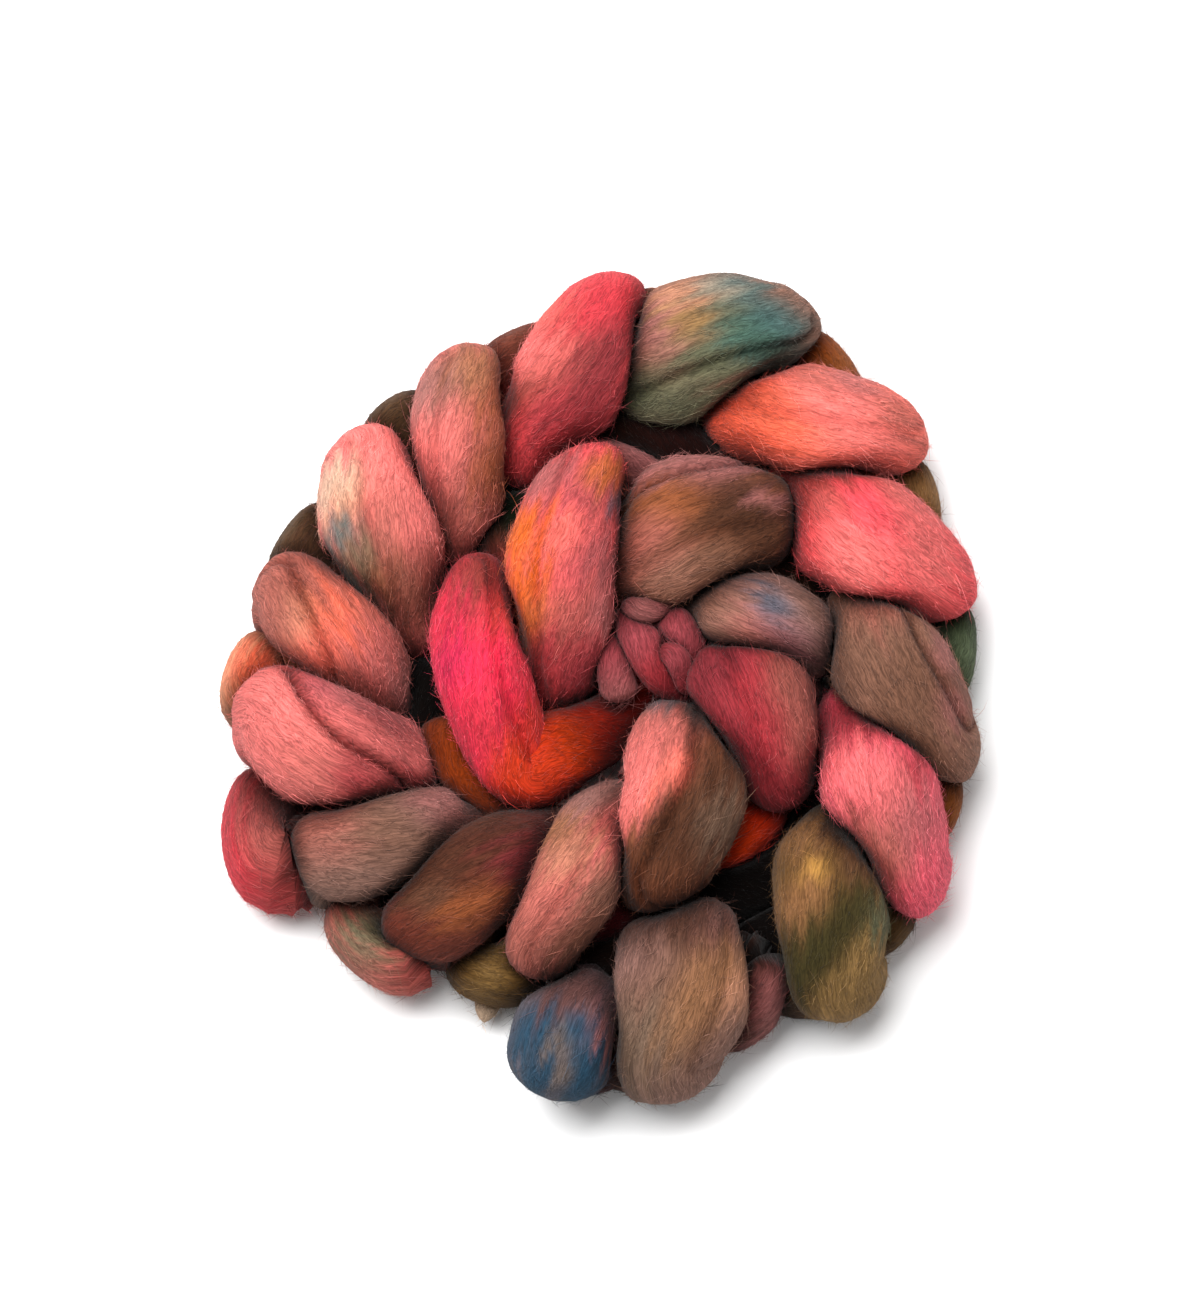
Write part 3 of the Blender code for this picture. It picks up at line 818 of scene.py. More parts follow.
@dataclass
class Plait:
    """The strand's course through every stitch, and how its turns press on each other.

    A stitch's nine stations are the lobe's foot, start, crown and end, the dive past its end, the
    crescent's head, side and back, and the bump below the lobe. Distances are in millimetres.
    """

    # The strand's section: how flat it is, and its width as shares of the lobe's or the crescent's.
    lobe_flatness: float = 0.78
    side_flatness: float = 0.80
    start_share: float = 0.88
    end_share: float = 0.90
    hidden_share: float = 0.60
    foot_share: float = 0.80
    back_share: float = 0.80
    bump_share: float = 0.85
    # Where the stations lie. start_in and end_in are shares of the lobe's length.
    foot_in: float = 1.0
    start_in: float = 0.05
    end_in: float = 0.08
    dive_out: float = 3.0
    back_out: float = 2.0
    start_drop: float = 6.0
    end_drop: float = 12.0
    foot_z: float = 14.0
    dive_z: float = 14.0
    head_z: float = 14.0
    side_z: float = 18.0
    bump_inward: float = 7.0
    pressed: float = 1.2
    middle_x: float = 1.3
    middle_y: float = 1.2
    # How far the strand's back turns from each station's main direction.
    end_tilt: float = 0.6
    dive_tilt: float = 0.3
    head_tilt: float = 0.4
    side_tilt: float = 0.2
    back_tilt: float = 0.3
    # What shows of a stitch, and how finely the strand is read there and elsewhere.
    lobe_span: Span = Span(0.2, 0.5, 4.4, 0.6)
    crescent_span: Span = Span(5.0, 0.5, 7.6, 0.6)
    fine_step: float = 0.5
    shown_step: float = 1.45
    hidden_step: float = 4.0
    # The angle of the fibres, in degrees, the least half-width they are laid for, and the clefts.
    lean: float = FIBRE_LEAN
    least_half: float = 6.0
    cleft_start: float = 0.6
    cleft_rise: float = 0.8
    deep_cleft: float = 5.0
    # How turns press on each other. Its shares are of a point's full distance from the tube's middle.
    sample_every: int = 2
    block: int = 6
    thinnest: float = 1.0
    least_root: float = 1e-9
    clear_run: float = 34.0
    reach: float = 46.0
    free: float = 3.0
    least_share: float = 0.20
    most_share: float = 2.0
    softness: float = 0.36
    gap: float = 0.04
    # shaded_to and shade_rounds set the band beside each crease that takes painted shade.
    shaded_to: float = 1.6
    shade_rounds: int = 3
    crease_rounds: int = 2
    deep_press: float = 0.35
    tubes: list[Tube] = field(default_factory=list)

    def chain_direction(self, index: int) -> np.ndarray:
        """The way the chain itself runs at a stitch, through its neighbours' lobes.

        Args:
            index: The stitch's place in the table.

        Returns:
            A level vector of length one.
        """
        before = STITCHES[max(index - 1, 0)]
        after = STITCHES[min(index + 1, len(STITCHES) - 1)]
        return unit(np.array([after.x - before.x, after.y - before.y, 0.0]))

    def stitch_rows(self, index: int) -> list[np.ndarray]:
        """The strand's stations through one stitch.

        Args:
            index: The stitch's place in the table.

        Returns:
            Rows of x, y, z, half-width, flatness, the outward vector, phase and the dye's three shares.
        """
        row = STITCHES[index]
        angle = math.radians(row.heading)
        ahead = np.array([math.cos(angle), math.sin(angle), 0.0])
        left = np.array([-ahead[1], ahead[0], 0.0])
        chain = self.chain_direction(index)
        inward = np.array([-chain[1], chain[0], 0.0])
        middle = np.array([row.x, row.y, 0.0])
        start = middle - ahead * row.length / 2
        end = middle + ahead * row.length / 2
        half = row.width / 2
        crown_z = row.top - half * self.lobe_flatness
        side = np.array([row.side_x, row.side_y, 0.0])
        side_half = row.side_width / 2
        squeezed = half * self.hidden_share
        bump = half * self.bump_share
        lobe, crescent = row.lobe.linear(), row.side.linear()
        between = (lobe + crescent) / 2
        flat, side_flat = self.lobe_flatness, self.side_flatness
        places = (
            (start + ahead * self.foot_in, self.foot_z, half * self.foot_share, flat, -inward, lobe),
            (
                start + ahead * row.length * self.start_in,
                crown_z - self.start_drop,
                half * self.start_share,
                flat,
                UP - inward,
                lobe,
            ),
            (middle + left * row.bow, crown_z, half, flat, UP, lobe),
            (
                end - ahead * row.length * self.end_in,
                crown_z - self.end_drop,
                half * self.end_share,
                flat,
                UP + self.end_tilt * inward,
                lobe,
            ),
            (
                end + ahead * self.dive_out,
                self.dive_z,
                squeezed,
                flat,
                inward + self.dive_tilt * UP,
                lobe,
            ),
            ((end + side) / 2, self.head_z, squeezed, flat, chain + self.head_tilt * UP, between),
            (side, self.side_z, side_half, side_flat, self.side_tilt * UP - inward, crescent),
            (
                (start + side) / 2 - inward * self.back_out,
                self.foot_z,
                side_half * self.back_share,
                side_flat,
                -inward - self.back_tilt * UP,
                crescent,
            ),
            (middle + inward * self.bump_inward, bump * flat - self.pressed, bump, flat, -UP, between),
        )
        first = index * STATIONS_PER_STITCH
        return [
            np.array([place[0], place[1], z, width, flatness, *unit(out), first + n, *dye])
            for n, (place, z, width, flatness, out, dye) in enumerate(places)
        ]

    def strand_rows(self) -> np.ndarray:
        """Every station of the strand, from the loose end to the inner end.

        Returns:
            One row for each station, as stitch_rows gives them.
        """
        rows: list[np.ndarray] = []
        for index in range(len(STITCHES)):
            stitch = self.stitch_rows(index)
            if index == 0:
                stitch = stitch[1:]
            if index == len(STITCHES) - 1:
                stitch = stitch[: LOBE_END + 1]
            rows += stitch
        phase = rows[-1][PHASE]
        for n, (end, dye) in enumerate(INNER_END, 1):
            place = (end.x, end.y, end.z)
            rows.append(
                np.array([*place, end.width / 2, self.lobe_flatness, *UP, phase + n, *dye.linear()])
            )
        return np.array(rows)

    def shown(self, phase: np.ndarray) -> np.ndarray:
        """How far the strand shows at each phase.

        Args:
            phase: The places, in stations from the strand's first.

        Returns:
            Shares from 0 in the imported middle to 1 where it is seen.
        """
        place = np.mod(phase, STATIONS_PER_STITCH)
        inner = phase > (len(STITCHES) - 1) * STATIONS_PER_STITCH
        either = np.maximum(self.lobe_span.weight(place), self.crescent_span.weight(place))
        return np.where(inner, 1.0, either)

    def read_strand(self) -> np.ndarray:
        """Reads the strand at rings that lie close where it shows and far apart where it doesn't.

        Returns:
            One row for each ring, with the columns of the stations' rows.
        """
        fine = read_curve(self.strand_rows(), self.fine_step)
        along = run_length(fine[:, PLACE])
        shown = self.shown(fine[:, PHASE])
        density = shown / self.shown_step + (1 - shown) / self.hidden_step
        count = np.concatenate([[0.0], np.cumsum((density[1:] + density[:-1]) / 2 * np.diff(along))])
        wanted = np.linspace(0.0, count[-1], int(count[-1]) + 1)
        return np.stack([np.interp(wanted, count, fine[:, n]) for n in range(fine.shape[1])], axis=1)

    def lay(self) -> None:
        """Lays the whole strand and the short stretches, and lets them press on each other."""
        rows = self.read_strand()
        shift = np.array([self.middle_x, self.middle_y, 0.0])
        places = rows[:, PLACE] - shift
        self.tubes.append(
            Tube(places, rows[:, HALF], rows[:, FLAT], rows[:, OUT], rows[:, PHASE], rows[:, DYE])
        )
        for courses, manner in ((UNDER_TURNS, BURIED), (CURLS, CURLED)):
            for course in courses:
                self.lay_short(course, shift, manner)
        self.add_relief()
        self.cut_clefts()
        self.press()

    def lay_short(self, course: Course, shift: np.ndarray, manner: Manner) -> None:
        """Lays one short stretch of wool.

        Args:
            course: Where it runs, how wide it is and how it is dyed.
            shift: What its places are measured from.
            manner: How finely it is laid, and whether deep in the coil.
        """
        table = np.array([[*station, *dye.linear()] for station, dye in course])
        turn = read_curve(table, self.shown_step * manner.step)
        count = len(turn)
        self.tubes.append(
            Tube(
                turn[:, :3] - shift,
                turn[:, 3] / 2,
                np.full(count, self.lobe_flatness),
                np.tile(UP, (count, 1)),
                np.full(count, NO_PHASE),
                turn[:, 4:7],
                segments=manner.segments,
                soft_end=manner.soft_end,
                buried=manner.buried,
            )
        )

    def add_relief(self) -> None:
        """Lays each tube's fibres round it, and gives it its unevenness and its lengthwise folds."""
        lean = math.tan(math.radians(self.lean))
        for number, tube in enumerate(self.tubes):
            along = tube.along[:, None]
            middle = (tube.along[1:] + tube.along[:-1]) / 2
            rate = lean / np.maximum(np.interp(middle, tube.along, tube.halves), self.least_half)
            twist = np.concatenate([[0.0], np.cumsum(rate * np.diff(tube.along))])
            tube.fibre_turn = tube.turn[None, :] + twist[:, None]
            relief = np.zeros(tube.share.shape)
            for layer in RELIEF:
                turn = tube.fibre_turn if layer.with_fibres else tube.turn[None, :]
                relief = relief + layer.height * waves(
                    layer.seed + number, along, turn, layer.pitch, layer.around
                )
            tube.share = tube.share * (1.0 + relief)

    def cut_clefts(self) -> None:
        """Splits the lobes lengthwise where the table of clefts says."""
        strand = self.tubes[0]
        for cleft in CLEFTS:
            place = strand.phase - cleft.stitch * STATIONS_PER_STITCH
            span = Span(self.lobe_span.first, self.cleft_rise, cleft.last + self.cleft_rise, 1.0)
            across = np.interp(place, (self.cleft_start, cleft.last), (cleft.at_start, cleft.at_end))
            right = unit(np.cross(strand.ahead, UP))
            top = np.cross(right, strand.ahead)
            towards = right * across[:, None] + top * np.sqrt(1.0 - across**2)[:, None]
            turn = np.arctan2(dot(towards, strand.depth) / strand.flats, dot(towards, strand.across))
            away = np.angle(np.exp(1j * (strand.turn[None, :] - turn[:, None])))
            arc = away * strand.halves[:, None]
            groove = np.exp(-((arc / cleft.width) ** 2)) * span.weight(place)[:, None]
            half = np.maximum(strand.halves[:, None], self.least_half)
            strand.share = strand.share - groove * cleft.depth / half
            # The split marks the groove for its painted shade.
            strand.split = np.maximum(strand.split, groove * min(cleft.depth / self.deep_cleft, 1.0))

    def press(self) -> None:
        """Cuts each tube back to where it meets its neighbours, with soft rounded creases between."""
        samples = [
            (tube, index)
            for tube in self.tubes
            for index in range(0, len(tube.along), self.sample_every)
        ]
        owner = np.array([id(tube) for tube, _ in samples])
        at = np.array([tube.along[index] for tube, index in samples])
        middle = np.array([tube.centres[index] for tube, index in samples])
        half = np.array([max(tube.halves[index], self.thinnest) for tube, index in samples])
        flat = np.array([tube.flats[index] for tube, index in samples])
        axes = np.array(
            [[tube.across[index], tube.depth[index], tube.ahead[index]] for tube, index in samples]
        )
        axes = axes / np.stack([half, half * flat, half], axis=1)[..., None]
        for tube in self.tubes:
            limit = np.full(tube.share.shape, self.free)
            full = tube.spokes * tube.share[..., None]
            for first in range(0, len(tube.along), self.block):
                rings = slice(first, first + self.block)
                centre = tube.centres[rings]
                near = np.linalg.norm(middle - centre.mean(axis=0), axis=1) < self.reach
                apart = (owner != id(tube)) | (np.abs(at - tube.along[rings].mean()) > self.clear_run)
                chosen = np.flatnonzero(near & apart)
                if not len(chosen):
                    continue
                start = np.einsum("kij,rkj->rki", axes[chosen], centre[:, None] - middle[None, chosen])
                step = np.einsum("kij,rsj->rski", axes[chosen], full[rings])
                square = dot(step, step) - 1.0
                cross = dot(step, start[:, None])
                constant = dot(start, start)[:, None]
                root = cross**2 - square * constant
                below = np.sqrt(np.maximum(root, 0.0)) - cross
                met = (root >= 0) & (below > self.least_root)
                meets = np.where(met, constant / np.maximum(below, self.least_root), self.free)
                limit[rings] = np.minimum(limit[rings], meets.min(axis=2))
            self.give_way(tube, limit)

    def give_way(self, tube: Tube, limit: np.ndarray) -> None:
        """Draws a tube in to a soft crease where its neighbours limit it.

        Args:
            tube: The tube.
            limit: How far out each of its points may go, as a share of its full reach.
        """
        # How close each point comes to a neighbour, which sets the painted shade beside the creases.
        near = np.clip((self.shaded_to - limit) / (self.shaded_to - 1.0), 0.0, 1.0)
        tube.near = soften(near, self.shade_rounds)
        limit = soften(np.clip(limit, self.least_share, self.most_share), self.crease_rounds)
        mix = np.clip(0.5 + 0.5 * (1.0 - limit) / self.softness, 0, 1)
        kept = 1.0 + (limit - 1.0) * mix - self.softness * mix * (1.0 - mix) - self.gap * mix
        kept = soften(kept, self.crease_rounds)
        # How deep each point is pressed or split, which sets the painted shade in the creases and
        # clefts.
        tube.pressed = np.maximum(np.clip((1.0 - kept) / self.deep_press, 0.0, 1.0), tube.split)
        tube.share = tube.share * kept


@dataclass
class DyeAndShadePainter:
    """Lays the dyes on the strand's surface, and paints shade over them in creases and deep in the coil.

    Shares of colour run from 0 to 1, distances are in millimetres, and the spans and rings are in
    stations from a stitch's first.
    """

    middle: tuple[float, float]
    streak: float = 1.3
    ground: float = 0.35
    wander: float = 3.4
    wander_seed: int = 7
    wander_pitch: float = 26.0
    wander_around: tuple[int, int] = (5, 22)
    # Painted shade: crease darkens the colour in the creases, crease_power shapes how fast, and beside
    # darkens the band next to them.
    crease: float = 0.86
    crease_power: float = 0.85
    beside: float = 0.40
    tone: float = 0.74
    # tone scales every colour; richness is how much richer the colour turns in the painted shade.
    shade_richness: float = 0.40
    blackest: float = 0.001
    # curl_light and curl_power set the painted shade on the curls.
    curl_light: float = 0.88
    curl_power: float = 0.45
    # Painted shade deep in the coil: buried is the factor there, and depth, lift and the two spans
    # darken the strand low down and where it dives under.
    buried: float = 0.08
    depth: float = 16.0
    lift: float = 0.4
    dive_span: Span = Span(3.8, 0.8, 5.6, 0.6)
    bump_span: Span = Span(7.2, 0.6, math.inf, 1.0)
    lobe_rings: tuple[float, float] = (0.2, 4.6)
    crescent_rings: tuple[float, float] = (4.6, 7.8)

    def shade(self, tube: Tube, points: np.ndarray) -> np.ndarray:
        """The painted shade: how much darker the colour is made where the wool is pressed into a crease,
        lies beside one, dives under, lies low or lies deep in the coil.

        Args:
            tube: The tube.
            points: Its points, ring by ring, in millimetres.

        Returns:
            A factor for each point's colour.
        """
        # Wool deep in the coil gets a flat painted shade, almost black.
        if tube.buried:
            return np.full(tube.share.shape, self.buried)
        # The curls get a lighter painted shade in their creases.
        if tube.short:
            return self.curl_light * self.creases(tube) ** self.curl_power
        # The strand is painted darker where it dives under a neighbour, runs below a lobe, or lies low.
        place = np.mod(tube.phase, STATIONS_PER_STITCH)
        inner = tube.phase > (len(STITCHES) - 1) * STATIONS_PER_STITCH + LOBE_END
        hidden = np.maximum(self.dive_span.weight(place), self.bump_span.weight(place))
        hidden = np.where(inner, 0.0, hidden)
        high = np.clip(points[..., 2] / self.depth, 0.0, 1.0)
        low = self.buried + (1.0 - self.buried) * np.maximum(1.0 - hidden[:, None], high - self.lift)
        return low * self.creases(tube)

    def paint_shade(self, colour: np.ndarray, shade: np.ndarray) -> np.ndarray:
        """The colour with its painted shade: darker and richer where the shade is deeper, and scaled by
        tone.
        """
        richer = 1.0 + self.shade_richness * (1.0 - shade)
        return np.maximum(colour, self.blackest) ** richer * shade * self.tone

    def creases(self, tube: Tube) -> np.ndarray:
        """The painted shade in and beside the creases."""
        return (1.0 - self.crease * tube.pressed**self.crease_power) * (1.0 - self.beside * tube.near)

    def paint(self, tube: Tube, points: np.ndarray, lean: float) -> np.ndarray:
        """The colour of each of a tube's points: its dyes, with painted shade over them.

        Args:
            tube: The tube.
            points: Its points, ring by ring, in millimetres.
            lean: The angle of its fibres to its own course, in degrees.

        Returns:
            Linear RGB for each point.
        """
        colour = np.repeat(tube.base[:, None], tube.segments, axis=1)
        shade = self.shade(tube, points)[..., None]
        if tube.short:
            return self.paint_shade(colour, shade)
        weight = np.full(colour.shape[:2], self.ground)
        total = colour * self.ground
        along = tube.along[:, None]
        drift = self.wander * waves(
            self.wander_seed, along, tube.fibre_turn, self.wander_pitch, self.wander_around
        )
        for wash in WASHES:
            row = STITCHES[wash.stitch]
            if wash.where is Where.LOBE:
                first, last = self.lobe_rings
                heading, x, y = row.heading, row.x, row.y
            else:
                first, last = self.crescent_rings
                heading, x, y = row.heading + 180, row.side_x, row.side_y
            place = tube.phase - wash.stitch * STATIONS_PER_STITCH
            rings = np.flatnonzero((place > first) & (place < last))
            angle = math.radians(heading - lean)
            grain = np.array([math.cos(angle), math.sin(angle)])
            patch = (x - self.middle[0] + wash.right, y - self.middle[1] + wash.back)
            away = points[rings][..., :2] - patch
            with_grain = (away @ grain + drift[rings]) / (wash.reach * self.streak)
            over_grain = (away[..., 0] * grain[1] - away[..., 1] * grain[0]) / wash.reach
            pull = wash.strength * np.exp(-(with_grain**2) - over_grain**2)
            weight[rings] += pull
            total[rings] += pull[..., None] * wash.dye.linear()
        return self.paint_shade(total / weight[..., None], shade)


@dataclass
class RovingSkin:
    """Turns the tubes into closed meshes that carry their dye, with its painted shade, and the run of
    their fibres.
    """

    cuts: tuple[int, ...] = (7, 14)
    cut_lead: int = 4
    floor_softness: float = 0.25
    pieces: list[bpy.types.Object] = field(default_factory=list)

    def tube_mesh(
        self, name: str, rings: int, segments: int
    ) -> tuple[bpy.types.Mesh, np.ndarray, np.ndarray]:
        """Makes a straight closed tube, ready to be laid along the strand.

        Args:
            name: The mesh's name.
            rings: How many rings it has.
            segments: How many points each ring has.

        Returns:
            The mesh, and the ring and the segment of each of its points.
        """
        shape = bmesh.new()
        bmesh.ops.create_grid(shape, x_segments=rings - 1, y_segments=segments, size=1.0)
        for vert in shape.verts:
            turn = math.pi * vert.co.y
            vert.co = (math.cos(turn), math.sin(turn), (vert.co.x + 1) / 2 * (rings - 1))
        bmesh.ops.remove_doubles(shape, verts=shape.verts, dist=0.001)
        ends = [edge for edge in shape.edges if edge.is_boundary]
        bmesh.ops.holes_fill(shape, edges=ends, sides=0)
        bmesh.ops.recalc_face_normals(shape, faces=shape.faces)
        mesh = bpy.data.meshes.new(name)
        shape.to_mesh(mesh)
        shape.free()
        places = np.empty(len(mesh.vertices) * 3, np.float32)
        mesh.vertices.foreach_get("co", places)
        places = places.reshape(-1, 3)
        ring = np.rint(places[:, 2]).astype(int)
        turn = np.arctan2(places[:, 1], places[:, 0]) / (2 * math.pi) * segments
        return mesh, ring, np.rint(turn).astype(int) % segments

    def lay_mesh(self, name: str, tube: Tube, first: int, last: int) -> None:
        """Makes one piece from a run of a tube's rings.

        Args:
            name: The piece's name.
            tube: The tube.
            first: Its first ring.
            last: The ring after its last.
        """
        mesh, ring, segment = self.tube_mesh(name, last - first, tube.segments)
        ring = ring + first
        places = tube.final[ring, segment]
        mesh.vertices.foreach_set("co", places.astype(np.float32).ravel())
        radius = tube.halves[:, None] * np.ones(tube.segments)[None, :]
        run = np.stack(
            [
                np.broadcast_to(tube.along[:, None], radius.shape),
                radius * np.cos(tube.fibre_turn),
                radius * np.sin(tube.fibre_turn),
            ],
            axis=-1,
        )
        fibre = mesh.attributes.new("fibre", "FLOAT_VECTOR", "POINT")
        fibre.data.foreach_set("vector", run[ring, segment].astype(np.float32).ravel())
        colour = np.ones((len(ring), 4), np.float32)
        colour[:, :3] = tube.colour[ring, segment]
        # The dye attribute carries the dyes with their painted shade.
        dye = mesh.attributes.new("dye", "FLOAT_COLOR", "POINT")
        dye.data.foreach_set("color", colour.ravel())
        shape = bmesh.new()
        shape.from_mesh(mesh)
        bmesh.ops.recalc_face_normals(shape, faces=shape.faces)
        shape.to_mesh(mesh)
        shape.free()
        mesh.shade_smooth()
        piece = bpy.data.objects.new(name, mesh)
        bpy.context.scene.collection.objects.link(piece)
        self.pieces.append(piece)

    def build(self, plait: Plait, dye_and_shade_painter: DyeAndShadePainter) -> list[bpy.types.Object]:
        """Makes every piece of the strand and of the short stretches.

        Args:
            plait: The laid strand.
            dye_and_shade_painter: What lays the colours and paints the shade over them.

        Returns:
            The pieces, in order from the loose end.
        """
        for tube in plait.tubes:
            points = tube.points()
            height = points[..., 2] / self.floor_softness
            points[..., 2] = self.floor_softness * np.logaddexp(0.0, height)
            tube.colour = dye_and_shade_painter.paint(tube, points, plait.lean)
            tube.final = points * MM
        strand = plait.tubes[0]
        phases = [cut * STATIONS_PER_STITCH - self.cut_lead for cut in self.cuts]
        rings = [int(np.searchsorted(strand.phase, phase)) for phase in phases]
        cuts = [0, *rings, len(strand.along) - 1]
        names = ("outer_turn_right", "outer_turn_left", "inner_turn")
        for name, first, last in zip(names, cuts, cuts[1:]):
            self.lay_mesh(name, strand, first, last + 1)
        for buried, name in ((True, "under_turn"), (False, "curl")):
            short = [tube for tube in plait.tubes[1:] if tube.buried is buried]
            for number, tube in enumerate(short, 1):
                self.lay_mesh(f"{name}_{number}", tube, 0, len(tube.along))
        return self.pieces


@dataclass
class LooseFibres:
    """The short fibres that stand off the strand and blur its outline, and a few long strays.

    Distances are in millimetres, the shares are of the wool's own colour or of a fibre, and a pair is
    the least and the most that chance gives a fibre.
    """

    bend_radius: float = 19.0
    seed: int = 11
    lean: float = FIBRE_LEAN
    # darkest and lightest bound each fibre's random shade of the colour under it; most come out lighter,
    # partly a painted highlight where loose fibres catch the light, and pale adds a light tint on top.
    darkest: float = 0.66
    lightest: float = 2.6
    pale: float = 0.12
    bare_from: float = 0.95
    bare_softness: float = 0.3
    spread_to: float = 0.9
    lowest_root: float = 1.5
    lowest: float = 0.2
    sunk: float = 0.1
    taper: float = 0.75
    thickness: tuple[float, float] = (0.7, 1.3)
    droop: tuple[float, float] = (0.2, 1.0)
    crimp: tuple[float, float] = (0.05, 0.22)
    crimp_turn: float = 7.0
    upswing: float = 0.5

    def roots(self, tubes: list[Tube], chance: np.random.Generator, count: int) -> dict[str, np.ndarray]:
        """Chooses where fibres start, evenly over what shows.

        Args:
            tubes: The laid tubes.
            chance: The source of chance.
            count: How many fibres.

        Returns:
            For each fibre its root, the way it runs, the way out of the strand, and its colour.
        """
        found: dict[str, list[np.ndarray]] = {"root": [], "run": [], "out": [], "dye": []}
        for tube in tubes:
            points = tube.final / MM
            forward = np.roll(points, -1, axis=0) - points
            forward[-1] = forward[-2]
            round_tube = np.roll(points, -1, axis=1) - points
            out = unit(np.cross(round_tube, forward))
            centre_out = unit(points - tube.centres[:, None])
            out = np.where((dot(out, centre_out) < 0)[..., None], -out, out)
            area = np.linalg.norm(np.cross(round_tube, forward), axis=-1)
            open_to = np.clip((self.bare_from - tube.pressed) / self.bare_softness, 0, 1)
            shown = open_to * (points[..., 2] > self.lowest_root)
            run = unit(unit(forward) - math.tan(math.radians(self.lean)) * unit(round_tube))
            open_wool = tube.pressed[..., None] < self.spread_to
            spread = chance.random((2, *points.shape[:2], 1)) * open_wool
            found["root"].append((points + spread[0] * forward + spread[1] * round_tube).reshape(-1, 3))
            found["run"].append(run.reshape(-1, 3))
            found["out"].append(out.reshape(-1, 3))
            found["dye"].append(np.c_[tube.colour.reshape(-1, 3), (area * shown).ravel()])
        joined = {name: np.concatenate(parts) for name, parts in found.items()}
        weight = joined["dye"][:, 3]
        chosen = chance.choice(len(weight), size=count, p=weight / weight.sum())
        return {name: values[chosen] for name, values in joined.items()}

    def hair(self, joints: int) -> tuple[np.ndarray, np.ndarray]:
        """One closed three-sided hair that tapers to its tip.

        Args:
            joints: How many stretches it has.

        Returns:
            The joint and side of each of its points, and its triangles.
        """
        shape = bmesh.new()
        bmesh.ops.create_cone(
            shape, cap_ends=True, cap_tris=False, segments=3, radius1=1.0, radius2=0.3, depth=joints
        )
        if joints > 1:
            rails = [edge for edge in shape.edges if abs(edge.verts[0].co.z - edge.verts[1].co.z) > 0.5]
            bmesh.ops.subdivide_edges(shape, edges=rails, cuts=joints - 1)
        tip = [vert for vert in shape.verts if vert.co.z > joints / 2 - 0.01]
        bmesh.ops.pointmerge(shape, verts=tip, merge_co=(0, 0, joints / 2))
        bmesh.ops.triangulate(shape, faces=shape.faces)
        bmesh.ops.recalc_face_normals(shape, faces=shape.faces)
        shape.verts.index_update()
        places = [(vert.co.z + joints / 2, math.atan2(vert.co.y, vert.co.x)) for vert in shape.verts]
        faces = [[vert.index for vert in face.verts] for face in shape.faces]
        shape.free()
        return np.array(places), np.array(faces)

    def spread(
        self, sort: Loose, roots: dict[str, np.ndarray], places: np.ndarray, chance: np.random.Generator
    ) -> np.ndarray:
        """Lays a hair on every root, each by its own chance.

        Args:
            sort: What fibres they are.
            roots: Where each fibre starts, and its directions.
            places: The joint and side of each point of a hair.
            chance: The source of chance.

        Returns:
            Every fibre's points, in metres.
        """
        count = sort.count

        def each(values: np.ndarray) -> np.ndarray:
            """One value a fibre, ready to be used on all its points."""
            return values[:, None, None]

        length = each(chance.uniform(sort.shortest, sort.longest, count))
        lift = each(np.minimum(chance.exponential(sort.lift, count), sort.highest))
        side = unit(np.cross(roots["run"], roots["out"]))
        sway = chance.normal(0.0, sort.sway, count)
        run = unit(roots["run"] + side * sway[:, None]) * chance.choice([-1.0, 1.0], count)[:, None]
        side = unit(np.cross(run, roots["out"]))
        share = (places[:, 0] / sort.joints)[None, :, None]
        droop = length**2 / (2 * self.bend_radius) * each(chance.uniform(*self.droop, count))
        curl = each(chance.normal(0.0, 1.0, count)) * sort.curl * length
        beat = each(chance.uniform(0, 2 * math.pi, count))
        crimp = each(chance.uniform(*self.crimp, count)) * np.sin(beat + self.crimp_turn * share)
        swing = 1.0 + self.upswing - self.upswing * share
        rise = lift * share * swing - droop * share**2 - self.sunk
        spine = (
            roots["root"][:, None]
            + run[:, None] * length * share
            + roots["out"][:, None] * rise
            + side[:, None] * (curl * share**2 + crimp)
        )
        spine[..., 2] = np.maximum(spine[..., 2], self.lowest)
        taper = 1.0 - self.taper * share
        thick = sort.width / 2 * taper * each(chance.uniform(*self.thickness, count))
        turn = places[:, 1][None, :, None]
        ring = side[:, None] * np.cos(turn) + roots["out"][:, None] * np.sin(turn)
        before_tip = share < 0.999
        return ((spine + ring * thick * before_tip) * MM).reshape(-1, 3)

    def grow(self, sort: Loose, tubes: list[Tube], chance: np.random.Generator) -> bpy.types.Object:
        """Makes one piece of loose fibres.

        Args:
            sort: What fibres they are.
            tubes: The laid tubes that they stand on, with their colours.
            chance: The source of chance.

        Returns:
            The piece.
        """
        count = sort.count
        roots = self.roots(tubes, chance, count)
        places, faces = self.hair(sort.joints)
        points = self.spread(sort, roots, places, chance)
        corners = (faces[None] + (np.arange(count) * len(places))[:, None, None]).reshape(-1, 3)
        mesh = bpy.data.meshes.new(sort.name)
        mesh.vertices.add(len(points))
        mesh.vertices.foreach_set("co", points.astype(np.float32).ravel())
        mesh.loops.add(corners.size)
        mesh.loops.foreach_set("vertex_index", corners.astype(np.int32).ravel())
        mesh.polygons.add(len(corners))
        mesh.polygons.foreach_set("loop_start", np.arange(0, corners.size, 3, dtype=np.int32))
        mesh.update(calc_edges=True)
        under = roots["dye"][:, :3]
